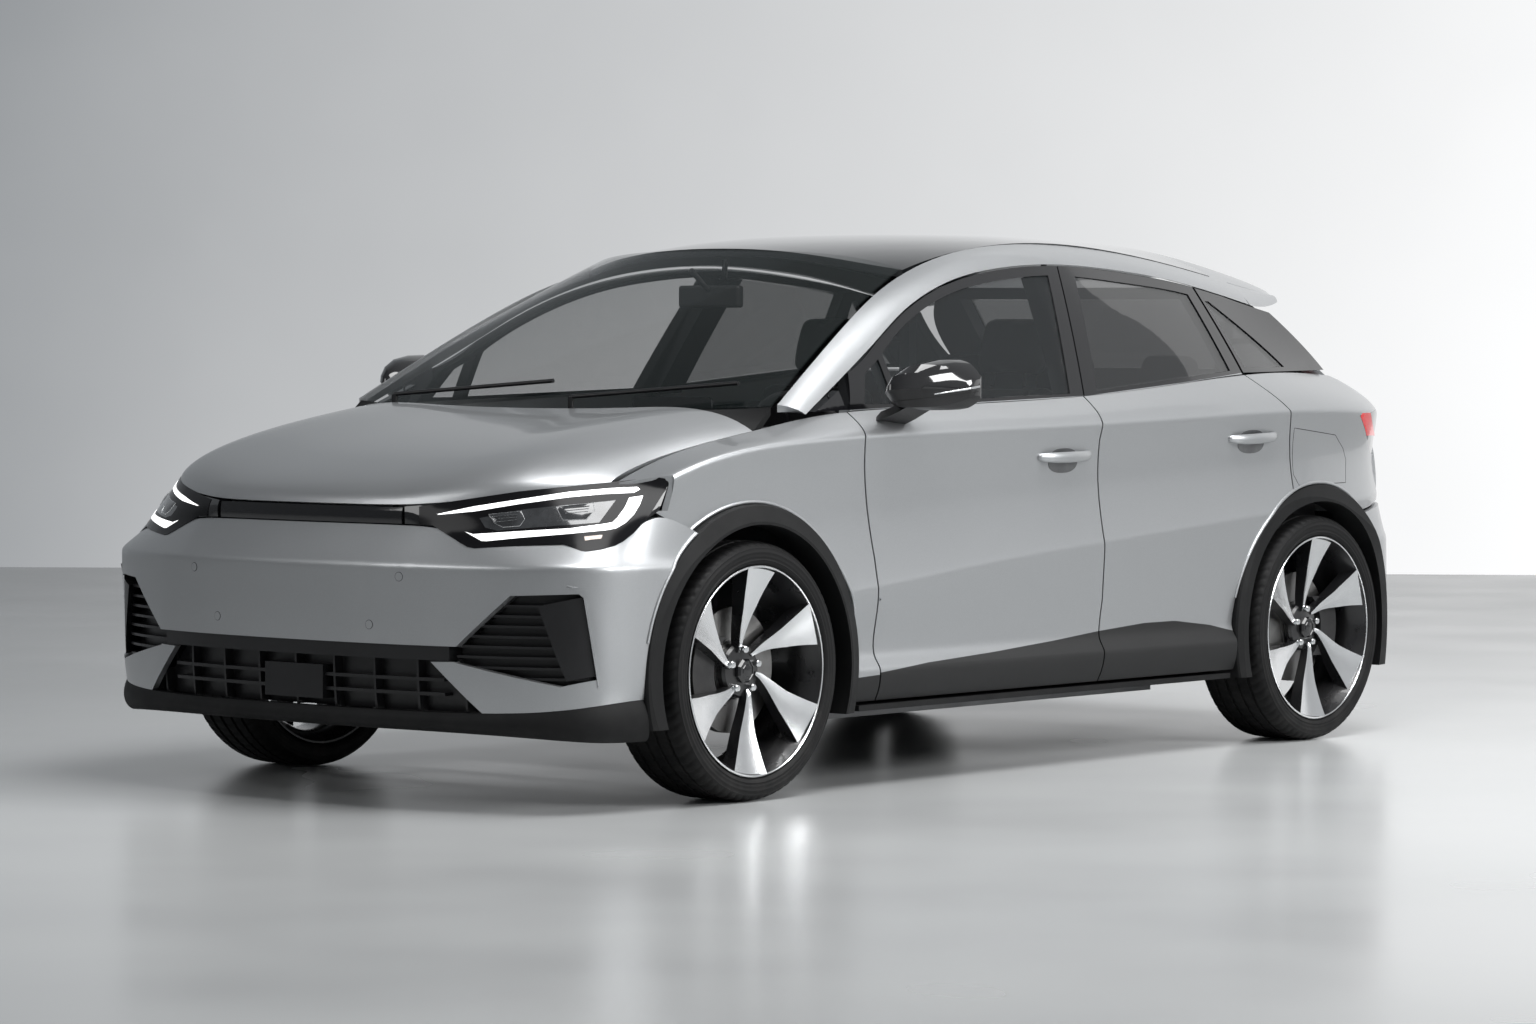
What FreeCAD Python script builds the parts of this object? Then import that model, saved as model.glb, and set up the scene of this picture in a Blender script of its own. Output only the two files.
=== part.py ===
"""Five-door hatchback car, built piece by piece at its real size.

The car stands on its tyres with its nose towards +X and its left side towards +Y.  The origin lies
on the ground under the middle of the car.  Lengths are millimetres.

Places on the body are written as (back, side, height): the distance behind the front axle, the
distance from the car's middle plane and the height above the ground.  The function place() turns
them into the frame of the car and stretches them with the driving dimensions.
"""
import FreeCAD
import Part
import Sketcher
import math
import os
from FreeCAD import Placement, Rotation, Vector

SIZES = (
    ("wheelbase", 2750),
    ("front_overhang", 840),
    ("rear_overhang", 770),
    ("body_width", 1860),
    ("car_height", 1560),
    ("sill_height", 215),
    ("tyre_radius", 350),
    ("tyre_width", 235),
    ("rim_radius", 284),
    ("wheel_inset", 5),
    ("arch_radius", 394),
    ("arch_lip", 54),
    ("skin_wall", 12),
    ("door_wall", 118),
    ("door_flange", 26),
    ("frame_wall", 34),
    ("frame_width", 34),
    ("glass_wall", 5),
    ("shut_gap", 6),
    ("seat_gap", 0.3),
    ("disc_radius", 170),
    ("disc_wall", 26),
    ("hub_radius", 72),
    ("spoke_count", 6),
    ("bolt_circle", 112),
    ("steering_wheel_radius", 185),
    ("floor_height", 300),
    ("floor_wall", 36),
    ("battery_height", 130),
    ("bonnet_wall", 26),
    ("roof_wall", 22),
    ("tailgate_wall", 60),
)

doc = FreeCAD.newDocument("hatchback_car")
sheet = doc.addObject("Spreadsheet::Sheet", "sizes")
for row, (alias, value) in enumerate(SIZES, start=1):
    sheet.set("A%d" % row, alias)
    sheet.set("B%d" % row, str(value))
    sheet.setAlias("B%d" % row, alias)
doc.recompute()


def size(alias):
    """The value of one named size."""
    return float(sheet.get(alias))


WHEELBASE = size("wheelbase")
FRONT_OVERHANG = size("front_overhang")
REAR_OVERHANG = size("rear_overhang")
HALF_WIDTH = size("body_width") / 2
CAR_LENGTH = WHEELBASE + FRONT_OVERHANG + REAR_OVERHANG
FRONT_AXLE = CAR_LENGTH / 2 - FRONT_OVERHANG
REAR_AXLE = FRONT_AXLE - WHEELBASE
TYRE_RADIUS = size("tyre_radius")
TYRE_WIDTH = size("tyre_width")
WHEEL_PLANE = HALF_WIDTH - size("wheel_inset") - TYRE_WIDTH / 2
ARCH_RADIUS = size("arch_radius")
ARCH_OUTER = ARCH_RADIUS + size("arch_lip")
GAP = size("shut_gap")
SEAT = size("seat_gap")
SKIN = size("skin_wall")
SILL = size("sill_height")
ROOF_HEIGHT = size("car_height")

# The drawn car, whose lines the places below are measured on.
DRAWN_WHEELBASE = 2750
DRAWN_FRONT = 840
DRAWN_REAR = 770
DRAWN_HALF_WIDTH = 930
DRAWN_ROOF = 1560
DRAWN_BELT = 1000


def along(back):
    """X of a place that lies so far behind the front axle on the drawn car."""
    if back < 0:
        return FRONT_AXLE - back * FRONT_OVERHANG / DRAWN_FRONT
    if back > DRAWN_WHEELBASE:
        return REAR_AXLE - (back - DRAWN_WHEELBASE) * REAR_OVERHANG / DRAWN_REAR
    return FRONT_AXLE - back * WHEELBASE / DRAWN_WHEELBASE


def across(side):
    """Y of a place at this distance from the drawn car's middle."""
    return side * HALF_WIDTH / DRAWN_HALF_WIDTH


def upward(height):
    """Z of a place at this height on the drawn car.  Only what lies above the belt stretches."""
    if height <= DRAWN_BELT:
        return height
    return DRAWN_BELT + (height - DRAWN_BELT) * (ROOF_HEIGHT - DRAWN_BELT) / (DRAWN_ROOF - DRAWN_BELT)


def place(back, side, height):
    return Vector(along(back), across(side), upward(height))


def follow(points, at):
    """The value at a place on a smooth line through (place, value) pairs."""
    if at <= points[0][0]:
        return points[0][1]
    if at >= points[-1][0]:
        return points[-1][1]
    index = max(i for i in range(len(points) - 1) if points[i][0] <= at)

    def slope(i):
        before, after = points[max(i - 1, 0)], points[min(i + 1, len(points) - 1)]
        return (after[1] - before[1]) / (after[0] - before[0])

    (x0, v0), (x1, v1) = points[index], points[index + 1]
    span = x1 - x0
    f = (at - x0) / span
    return (v0 * (1 + 2 * f) * (1 - f) ** 2 + slope(index) * span * f * (1 - f) ** 2
            + v1 * f * f * (3 - 2 * f) + slope(index + 1) * span * f * f * (f - 1))


# Surfaces and solids

def clamped_knots(count, degree):
    spans = count - degree
    return [degree + 1] + [1] * (spans - 1) + [degree + 1], [i / spans for i in range(spans + 1)]


def smooth_surface(rows):
    """A smooth surface drawn towards a grid of guide points."""
    u_degree = min(3, len(rows) - 1)
    v_degree = min(3, len(rows[0]) - 1)
    u_mults, u_knots = clamped_knots(len(rows), u_degree)
    v_mults, v_knots = clamped_knots(len(rows[0]), v_degree)
    surface = Part.BSplineSurface()
    surface.buildFromPolesMultsKnots(rows, u_mults, v_mults, u_knots, v_knots, False, False,
                                     u_degree, v_degree)
    return surface


def made_solid(faces):
    shell = Part.Shell(faces)
    shell.sewShape()
    solid = Part.Solid(shell)
    if solid.Volume < 0:
        solid.reverse()
    return solid


def thick_patch(outer_rows, inner_rows):
    """A closed solid between an outer and an inner surface."""
    outer, inner = smooth_surface(outer_rows), smooth_surface(inner_rows)
    faces = [outer.toShape(), inner.toShape()]
    for end in (0.0, 1.0):
        faces.append(Part.makeRuledSurface(outer.uIso(end).toShape(), inner.uIso(end).toShape()))
        faces.append(Part.makeRuledSurface(outer.vIso(end).toShape(), inner.vIso(end).toShape()))
    return made_solid(faces)


def closed_wire(runs):
    """A wire of runs of points: two points are a straight run, more are a smooth one."""
    edges = []
    for run in runs:
        if len(run) == 2:
            edges.append(Part.makeLine(run[0], run[1]))
        else:
            spline = Part.BSplineCurve()
            spline.interpolate(run)
            edges.append(spline.toShape())
    if (runs[-1][-1] - runs[0][0]).Length > 1e-6:
        edges.append(Part.makeLine(runs[-1][-1], runs[0][0]))
    return Part.Wire(edges)


def straight_runs(points):
    return [[points[i], points[(i + 1) % len(points)]] for i in range(len(points))]


def prism(runs, travel):
    return Part.Face(closed_wire(runs)).extrude(travel)


def side_cutter(runs, near=0, far=1200):
    """A prism across the car from an outline in (back, height) places."""
    placed = [[Vector(along(b), near, upward(h)) for b, h in run] for run in runs]
    return prism(placed, Vector(0, far - near, 0))


def inset_outline(points, by):
    """A closed outline with every edge moved inward by this much."""
    count = len(points)
    area = sum(points[i][0] * points[(i + 1) % count][1] - points[(i + 1) % count][0] * points[i][1]
               for i in range(count))
    turn = 1 if area > 0 else -1
    lines = []
    for i in range(count):
        (x0, y0), (x1, y1) = points[i], points[(i + 1) % count]
        reach = math.hypot(x1 - x0, y1 - y0)
        nx, ny = -(y1 - y0) / reach * turn, (x1 - x0) / reach * turn
        lines.append((nx, ny, nx * x0 + ny * y0 + by))
    result = []
    for i in range(count):
        a, b, c = lines[i - 1]
        d, e, f = lines[i]
        det = a * e - b * d
        result.append(((c * e - b * f) / det, (a * f - c * d) / det))
    return result


def side_polygon(points, near=0, far=1200):
    placed = [Vector(along(b), near, upward(h)) for b, h in points]
    return prism(straight_runs(placed), Vector(0, far - near, 0))


def front_cutter(points, first, last):
    """A prism along the car from an outline in (side, height) places."""
    placed = [Vector(along(first), across(s), upward(h)) for s, h in points]
    return prism(straight_runs(placed), Vector(along(last) - along(first), 0, 0))


def plan_cutter(runs, low, high):
    """A prism upward from an outline in (back, side) places."""
    placed = [[Vector(along(b), across(s), low) for b, s in run] for run in runs]
    return prism(placed, Vector(0, 0, high - low))


def box(x0, x1, y0, y1, z0, z1):
    return Part.makeBox(x1 - x0, y1 - y0, z1 - z0, Vector(x0, y0, z0))


def rod(start, end, radius):
    return Part.makeCylinder(radius, (end - start).Length, start, end - start)


def first_hit(start, way, carrier, radius):
    """How far a round piece can travel from a place before it meets its carrier."""
    side = way.cross(Vector(0, 0, 1) if abs(way.z) < 0.9 else Vector(1, 0, 0)).normalize()
    other = way.cross(side).normalize()
    nearest = None
    for i in range(9):
        turn = math.pi * i / 4
        off = side * math.cos(turn) * radius + other * math.sin(turn) * radius if i < 8 else Vector()
        met = Part.makeLine(start + off, start + off + way * 600).common(carrier)
        for vertex in met.Vertexes:
            travel = (vertex.Point - start - off).dot(way)
            nearest = travel if nearest is None else min(nearest, travel)
    return nearest


def stud(start, way, carrier, radius):
    """A round stud that ends a hair short of its carrier."""
    return rod(start, start + way * (first_hit(start, way, carrier, radius) - SEAT), radius)


def shape_of(name):
    return next(f for f in NODES if f.Label == name).Shape


def mirrored(shape):
    return shape.mirror(Vector(0, 0, 0), Vector(0, 1, 0))


def both_sides(shape):
    return Part.makeCompound([shape, mirrored(shape)])


def solids_of(shape):
    """The shape's solids as one shape, without stray faces."""
    solids = shape.Solids
    return solids[0] if len(solids) == 1 else Part.makeCompound(solids)


def node(name, shape):
    feature = doc.addObject("Part::Feature", name)
    feature.Label = name
    whole = solids_of(shape)
    feature.Shape = whole
    feature.Placement = whole.Placement
    NODES.append(feature)
    return feature


def pair(name, left_shape):
    node(name + "_left", left_shape)
    node(name + "_right", mirrored(left_shape))


NODES = []

# Lines of the body side: (back, height) and (back, side).
BELT_HEIGHT = ((-430, 862), (-200, 938), (130, 990), (310, 1033), (520, 1042), (1190, 1062),
               (1610, 1074), (2100, 1110), (2450, 1139), (2860, 1142), (3300, 1120))
BELT_SIDE = ((-430, 790), (-200, 782), (130, 800), (310, 836), (600, 846), (1500, 850),
             (2400, 838), (2860, 772), (3300, 690))
SHOULDER_HEIGHT = ((-430, 830), (-240, 908), (0, 947), (470, 972), (1010, 985), (1520, 994),
                   (2035, 1010), (2580, 1026), (2860, 1027), (3300, 1015))
SHOULDER_SIDE = ((-430, 893), (-330, 902), (0, 916), (500, 922), (1500, 926), (2300, 930),
                 (2750, 930), (2950, 916), (3100, 884), (3200, 842), (3300, 786))
CREASE_HEIGHT = ((-430, 520), (0, 530), (530, 555), (850, 594), (1180, 623), (1600, 651),
                 (1990, 681), (2280, 701), (2750, 735), (3300, 760))
SIDE_STATIONS = (-430, -300, -120, 100, 350, 700, 1100, 1500, 1900, 2300, 2600, 2850, 3050, 3180, 3300)


def side_rows():
    """Guide rows of the body side, from the sill up to the belt."""
    rows = []
    sections = (
        ("sill", 0, 52), ("sill", 42, 22), ("sill", 100, 9), ("sill", 122, 12),
        ("sill", 150, 36), ("sill", 200, 34),
        ("crease", -60, 10), ("crease", -12, 5), ("crease", 0, 5), ("crease", 16, 9),
        ("middle", 0, 26),
        ("shoulder", -60, 12), ("shoulder", -16, 2), ("shoulder", 0, 0), ("shoulder", 10, 5),
        ("upper", 0.35, 0), ("upper", 0.8, 0), ("upper", 1.0, 0))
    for line, offset, inset in sections:
        row = []
        for back in SIDE_STATIONS:
            shoulder = follow(SHOULDER_HEIGHT, back)
            crease = follow(CREASE_HEIGHT, back)
            belt = follow(BELT_HEIGHT, back)
            side = follow(SHOULDER_SIDE, back) - inset
            if line == "sill":
                height = SILL + offset
            elif line == "crease":
                height = crease + offset
            elif line == "middle":
                height = (crease + shoulder) / 2
            elif line == "shoulder":
                height = shoulder + offset
            else:
                height = shoulder + 10 + (belt - shoulder - 10) * offset
                side = side + (follow(BELT_SIDE, back) - side) * offset ** 1.3
            row.append(place(back, side, height))
        rows.append(row)
    return rows


SIDE_SURFACE = smooth_surface(side_rows()).toShape()


def side_slab(travel):
    """The body side as a slab that reaches inward by the travel."""
    return SIDE_SURFACE.extrude(travel)


# The cant rail: its lower edge over the side windows and its upper edge beside windscreen and roof.
RAIL_LOWER = ((300, 838, 1034), (500, 800, 1130), (716, 762, 1238), (865, 727, 1323), (1098, 692, 1405),
              (1340, 672, 1449), (1675, 662, 1472), (2035, 665, 1453), (2336, 678, 1424),
              (2690, 690, 1354))
EAR_LOWER = ((2696, 690, 1352), (2762, 686, 1343), (2850, 666, 1349), (2940, 630, 1364))
RAIL_UPPER = ((236, 790, 1060), (480, 738, 1196), (690, 690, 1305), (850, 655, 1378), (1040, 615, 1440),
              (1270, 602, 1501), (1600, 600, 1532), (2035, 600, 1517), (2400, 600, 1474),
              (2690, 600, 1426))
EAR_UPPER = ((2696, 590, 1426), (2790, 590, 1411), (2880, 590, 1398), (2960, 590, 1387))


RAIL_END = 2690


def rail_line(table, index):
    return tuple((p[0], p[index]) for p in table)


def greenhouse_rows(back_stations, inset, top_drop):
    """Guide rows of the side windows' plane, from the belt up to the cant rail."""
    low, high = [], []
    for back in back_stations:
        low.append(place(back, follow(BELT_SIDE, back) - inset, follow(BELT_HEIGHT, back) + 2))
        top_side = follow(rail_line(RAIL_LOWER, 1), back)
        top_height = follow(rail_line(RAIL_LOWER, 2), back)
        high.append(place(back, top_side - inset, top_height - top_drop))
    return low, high


def window_plane(back_stations, inset, wall, top_drop=0):
    """A slab in the plane of the side windows."""
    low, high = greenhouse_rows(back_stations, inset, top_drop)
    middle = [(a + b) / 2 + Vector(0, 7, 3) for a, b in zip(low, high)]
    shift = Vector(0, -wall, -wall * 0.3)
    outer = [low, middle, high]
    return thick_patch(outer, [[p + shift for p in row] for row in outer])


# Doors

FRONT_SHUT = ((480, 1044), (460, 964), (474, 881), (521, 632), (542, 383), (552, 250))
MIDDLE_SHUT = ((1584, 1079), (1571, 950), (1595, 657), (1613, 480), (1605, 250))
REAR_SHUT = ((2453, 1147), (2567, 1026), (2591, 906), (2606, 785))


def shifted(points, by):
    return [(back + by, height) for back, height in points]


def chain(points):
    """Straight runs through the points, left open at the end."""
    return [[points[i], points[i + 1]] for i in range(len(points) - 1)]


def rail_run(start, end, drop):
    """Points along the cant rail's lower edge, this much below it."""
    heights = rail_line(RAIL_LOWER, 2)
    steps = 8
    backs = [start + (end - start) * i / steps for i in range(steps + 1)]
    return [(back, follow(heights, back) - drop) for back in backs]


def belt_at(back):
    return follow(BELT_HEIGHT, back)


def arch_cylinder(axle, radius, near=0):
    return Part.makeCylinder(radius, 1200, Vector(axle, near, TYRE_RADIUS), Vector(0, 1, 0))


def door_outline(front_line, rear_line, inset, low):
    front = shifted(front_line, inset)
    front[-1] = (front[-1][0], low)
    rear = shifted(rear_line, -inset)
    if rear_line is REAR_SHUT:
        rear.append((2420, low))
    else:
        rear[-1] = (rear[-1][0], low)
    top = [(rear[0][0], belt_at(rear[0][0]) + 40), (front[0][0], belt_at(front[0][0]) + 40)]
    return front + rear[::-1] + top


DOOR_LOW = SILL + 26
DOOR_STEP = 34


INNER_PLANE = HALF_WIDTH - size("door_wall")


def door_lower(front_line, rear_line):
    """A door below its belt: a flange out to its shut lines and a thick inner box."""
    flange = side_slab(Vector(0, -size("door_flange"), 0))
    flange = flange.common(side_polygon(door_outline(front_line, rear_line, GAP / 2, DOOR_LOW)))
    inner = side_slab(Vector(0, -size("door_wall"), 0))
    inner = inner.common(side_polygon(door_outline(front_line, rear_line, DOOR_STEP, DOOR_LOW + 90),
                                      INNER_PLANE))
    if rear_line is REAR_SHUT:
        flange = flange.cut(arch_cylinder(REAR_AXLE, ARCH_OUTER + GAP / 2))
        inner = inner.cut(arch_cylinder(REAR_AXLE, ARCH_OUTER + DOOR_STEP))
    return flange.fuse(inner)


def frame_outline(front_base, front_top, rear_top, rear_base, drop):
    """Outline of a door's window frame, or of its opening, between belt and rail."""
    run = rail_run(front_top, rear_top, drop)
    return [[front_base, run[0]], run, [run[-1], rear_base], [rear_base, front_base]]


FRONT_FRAME_BACKS = (483, 545, 1706, 1581)
REAR_FRAME_BACKS = (1587, 1712, 2390, 2450)
FRAME_STATIONS = (300, 500, 700, 900, 1150, 1450, 1750, 2050, 2350, 2560, 2800, 3070)


def door_frame(backs, openings):
    base, top_front, top_rear, base_rear = backs
    slab = window_plane(FRAME_STATIONS, 2, size("frame_wall"), GAP)
    frame = slab.common(side_cutter(frame_outline((base, belt_at(base) - 12), top_front, top_rear,
                                                  (base_rear, belt_at(base_rear) - 12), GAP)))
    for opening in openings:
        frame = frame.cut(opening(0))
    return frame


def front_triangle(shrink):
    """The small fixed window at the front of the front door."""
    drop = GAP + size("frame_width") + shrink
    run = rail_run(610 + shrink, 690 - shrink, drop)
    low = belt_at(650) + 14 + shrink
    return side_cutter([[(560 + shrink * 2, low), run[0]], run, [run[-1], (690 - shrink, low)],
                        [(690 - shrink, low), (560 + shrink * 2, low)]])


def front_window(shrink):
    drop = GAP + size("frame_width") + shrink
    run = rail_run(716 + shrink, 1640 - shrink, drop)
    first, last = (716 + shrink, belt_at(716) + 14 + shrink), (1524 - shrink, belt_at(1524) + 14 + shrink)
    return side_cutter([[first, run[0]], run, [run[-1], last], [last, first]])


def rear_window(shrink):
    drop = GAP + size("frame_width") + shrink
    run = rail_run(1775 + shrink, 2345 - shrink, drop)
    first, last = (1660 + shrink, belt_at(1660) + 14 + shrink), (2385 - shrink, belt_at(2385) + 14 + shrink)
    return side_cutter([[first, run[0]], run, [run[-1], last], [last, first]])


def pane(openings):
    """Window glass that fills its openings a hair short of their edges."""
    slab = window_plane(FRAME_STATIONS, 6, size("glass_wall"), GAP)
    return Part.makeCompound([slab.common(opening(SEAT)) for opening in openings])


def make_doors():
    front = door_lower(FRONT_SHUT, MIDDLE_SHUT).fuse(door_frame(FRONT_FRAME_BACKS, (front_triangle, front_window)))
    rear = door_lower(MIDDLE_SHUT, REAR_SHUT).fuse(door_frame(REAR_FRAME_BACKS, (rear_window,)))
    pair("front_door", front)
    pair("rear_door", rear)
    pair("front_door_glass", pane((front_triangle, front_window)))
    pair("rear_door_glass", pane((rear_window,)))


# Rails, windscreen, roof and scuttle

WINDSCREEN_BASE = ((171, 0, 1037), (172, 150, 1038), (178, 330, 1041), (188, 470, 1045), (200, 590, 1049),
                   (213, 685, 1052), (222, 740, 1055), (228, 774, 1058))
WINDSCREEN_TOP = ((905, 0, 1501), (908, 130, 1500), (918, 270, 1495), (936, 380, 1488), (962, 470, 1478),
                  (990, 533, 1465), (1012, 570, 1454), (1030, 592, 1444))
ROOF_HEIGHTS = ((905, 1504), (1100, 1533), (1311, 1549), (1601, 1560), (2002, 1563), (2315, 1561), (2600, 1554))
ROOF_SIDES = (0, 200, 370, 480, 550, 599.7)
ROOF_END = 2600


def across_rows(half_rows):
    """Rows that run from the right side to the left, from rows that run from the middle outward."""
    return [[Vector(p.x, -p.y, p.z) for p in row[:0:-1]] + list(row) for row in half_rows]


def moved(rows, shift):
    return [[p + shift for p in row] for row in rows]


def make_rails():
    lower = [place(*p) for p in RAIL_LOWER]
    upper = [place(*p) for p in RAIL_UPPER]
    middle = [(a + b) / 2 + Vector(0, 11, 10) for a, b in zip(lower, upper)]
    inner = [[p + Vector(0, -20, 3) for p in lower], [p + Vector(0, -15, -15) for p in middle],
             [p + Vector(0, 0, -20) for p in upper]]
    node("roof_rails", both_sides(thick_patch([lower, middle, upper], inner)))


def make_windscreen():
    base = [place(*p) for p in WINDSCREEN_BASE]
    top = [place(*p) for p in WINDSCREEN_TOP]
    rows = []
    for share, bulge in ((0, 0), (0.3, 28), (0.7, 28), (1, 0)):
        rows.append([a + (b - a) * share + Vector(bulge * 0.5, 0, bulge * 0.85) for a, b in zip(base, top)])
    rows = across_rows(rows)
    node("windscreen", thick_patch(rows, moved(rows, Vector(-2, 0, -size("glass_wall")))))


def roof_edge(side):
    """Distance of the roof panel's front edge behind the front axle."""
    return follow(rail_line(tuple((p[1], p[0]) for p in WINDSCREEN_TOP), 1), side) + GAP


def make_roof():
    rows = []
    for share in (0, 0.08, 0.25, 0.45, 0.65, 0.85, 1):
        row = []
        for side in ROOF_SIDES:
            start = roof_edge(side)
            back = start + (ROOF_END - start) * share
            middle = follow(ROOF_HEIGHTS, back)
            edge = follow(rail_line(RAIL_UPPER, 2), back) + 1
            row.append(place(back, side, edge + (middle - edge) * (1 - (side / ROOF_SIDES[-1]) ** 2.6)))
        rows.append(row)
    rows = across_rows(rows)
    node("roof_panel", thick_patch(rows, moved(rows, Vector(0, 0, -size("roof_wall")))))


BAY_TOP = 830
UPPER_BEAM = along(-690)

# Bonnet and front end.  Each row runs from the car's middle outward.

LAMP_TOP = ((-766, 346, 796), (-730, 465, 806), (-680, 585, 820), (-610, 672, 832), (-535, 735, 842),
            (-450, 785, 853), (-395, 830, 856), (-333, 884, 853))
BONNET_FRONT = ((-795, 0, 796), (-787, 180, 796)) + LAMP_TOP[:6]
BONNET_REAR = ((100, 0, 1042), (100, 180, 1043), (102, 346, 1047), (105, 480, 1053), (110, 595, 1051),
               (116, 690, 1036), (123, 750, 1015), (130, 792, 990))
BONNET_RISE = (0.5, 0.5, 0.48, 0.44, 0.43, 0.5, 0.58, 0.645)
BUMPER_TOP = ((-786, 0, 746), (-781, 170, 746), (-768, 343, 746), (-755, 450, 744), (-725, 590, 718),
              (-680, 700, 704), (-620, 792, 702), (-540, 852, 716), (-450, 888, 748), (-388, 902, 786),
              (-300, 912, 752), (-232, 916, 722))
BUMPER_CREASE = ((-845, 0), (-842, 170), (-831, 340), (-806, 490), (-764, 650), (-713, 770), (-652, 858),
                 (-572, 898), (-482, 911), (-400, 915), (-300, 918), (-225, 919))
CREASE = 644


def make_bonnet():
    rows = []
    for share in (0, 0.006, 0.03, 0.1, 0.22, 0.4, 0.6, 0.8, 1):
        row = []
        for front, rear, rise in zip(BONNET_FRONT, BONNET_REAR, BONNET_RISE):
            back = front[0] + 3 + (rear[0] - front[0] - 3) * share
            side = front[1] + (rear[1] - front[1]) * share
            if front is BONNET_FRONT[-1]:
                side = follow(BELT_SIDE, back) - GAP - 4
            row.append(place(back, side, front[2] + 3 + (rear[2] - front[2] - 3) * share ** rise))
        rows.append(row)
    outer = across_rows(rows)
    wall = size("bonnet_wall")
    inner = []
    for row, thickness in zip(outer, (0.08, 0.2, 0.5, 0.85, 1, 1, 1, 1, 1)):
        under = [p + Vector(-5, 0, -wall * thickness) for p in row]
        under[0] += Vector(0, 12, 0)
        under[-1] -= Vector(0, 12, 0)
        inner.append(under)
    node("bonnet", thick_patch(outer, inner))


def make_scuttle():
    front = [place(b + GAP, s * 0.985, h - 6) for b, s, h in BONNET_REAR]
    rear = [place(b - 0.4, s, h - 4) for b, s, h in WINDSCREEN_BASE]
    rows = across_rows([front, [(a + b) / 2 + Vector(0, 0, -6) for a, b in zip(front, rear)], rear])
    panel = thick_patch(rows, moved(rows, Vector(0, 0, -22)))
    leg = box(along(190), along(150), 590, 640, BAY_TOP + SEAT, 1030 - 6)
    node("scuttle", panel.fuse([leg, mirrored(leg)]))


def inward(plan):
    """Unit vectors into the body at each point of a plan line that runs from the middle outward."""
    points = [Vector(along(b), across(s), 0) for b, s in plan]
    points = [Vector(points[1].x, -points[1].y, 0)] + points
    points.append(points[-1] * 2 - points[-2])
    result = []
    for i in range(1, len(points) - 1):
        run = points[i + 1] - points[i - 1]
        result.append(Vector(-run.y, run.x, 0).normalize())
    return result


def bumper_rows(plan, top, sections, ledge, depth, outward):
    """Guide rows of a bumper, this deep below its skin; sections are (height or heights, pulled in)."""
    ways = [way * outward for way in inward(plan)]
    rows = []
    for heights, pull in sections:
        if not isinstance(heights, tuple):
            heights = (heights,) * len(plan)
        rows.append([Vector(along(b), across(s), height) + way * (pull + depth)
                     for (b, s), way, height in zip(plan, ways, heights)])
    last = rows[-1]
    upper = [place(*p) + way * depth for p, way in zip(top, ways)]
    rows.append([a + (b - a) * ledge for a, b in zip(last, upper)])
    rows.append(upper)
    return across_rows(rows)


FRONT_FOOT = (262, 262, 262, 262, 264, 270, 281, 291, 297, 299, 300, 300)
FRONT_LOW = (211, 211, 211, 210, 206, 200, 193, 188, 186, 185, 185, 185)


def between(low, high, share, shift=0):
    """Heights this share of the way from one row of heights to another."""
    return tuple(a + (b - a) * share + shift for a, b in zip(low, high))


FRONT_SECTIONS = ((FRONT_FOOT, 12), (320, 4), (440, 0), (560, -1), (630, -3), (CREASE, -3), (656, 6))
FRONT_SKIRT = ((FRONT_LOW, 30), (between(FRONT_LOW, FRONT_FOOT, 0.1), 4),
               (between(FRONT_LOW, FRONT_FOOT, 0.55), -6), (between(FRONT_LOW, FRONT_FOOT, 1, -SEAT), 12))
BUMPER_WALL = 20


def front_layer(first, last):
    outer = bumper_rows(BUMPER_CREASE, BUMPER_TOP, FRONT_SECTIONS, 0.55, first, 1)
    inner = bumper_rows(BUMPER_CREASE, BUMPER_TOP, FRONT_SECTIONS, 0.55, last, 1)
    return thick_patch(outer, inner)


INTAKE = ((700, 572), (878, 580), (893, 564), (900, 362), (815, 338), (548, 394), (538, 424))
LOWER_GRILLE = ((-572, 436), (572, 436), (548, 396), (477, 394), (632, 250), (-632, 250), (-477, 394),
                (-548, 396))
GRILLE_BAND = ((-528, 436 - SEAT), (528, 436 - SEAT), (528, 398), (-528, 398))
GRILLE_BARS = ((-466, 412), (466, 412), (628, 262), (-628, 262))
GRILLE_BACK = ((-524, 442), (524, 442), (524, 402), (484, 394), (636, 256), (-636, 256), (-484, 394),
               (-524, 402))
INTAKE_FIN = ((764, 546), (868, 573), (885, 559), (891, 370), (824, 352))


def grown(points, by):
    """A closed outline pushed outward by this much, seen from its middle."""
    cx = sum(p[0] for p in points) / len(points)
    cy = sum(p[1] for p in points) / len(points)
    result = []
    for x, y in points:
        reach = math.hypot(x - cx, y - cy)
        result.append((x + (x - cx) * by / reach, y + (y - cy) * by / reach))
    return result


def make_front_bumper():
    bumper = front_layer(0, BUMPER_WALL)
    intake = front_cutter(INTAKE, -900, -545)
    grille = front_cutter(LOWER_GRILLE, -900, -600)
    arch = arch_cylinder(FRONT_AXLE, ARCH_OUTER + SEAT)
    bumper = bumper.cut(Part.makeCompound([intake, mirrored(intake), grille, arch, mirrored(arch)]))
    node("front_bumper", bumper)
    rows = []
    for depth in (0, 26):
        rows.append(bumper_rows(BUMPER_CREASE, [(b, s, 258) for b, s in BUMPER_CREASE],
                                FRONT_SKIRT, 0.5, depth, 1)[:len(FRONT_SKIRT)])
    skirt = thick_patch(rows[0], rows[1]).cut(Part.makeCompound([arch, mirrored(arch)]))
    node("front_skirt", skirt)


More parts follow.
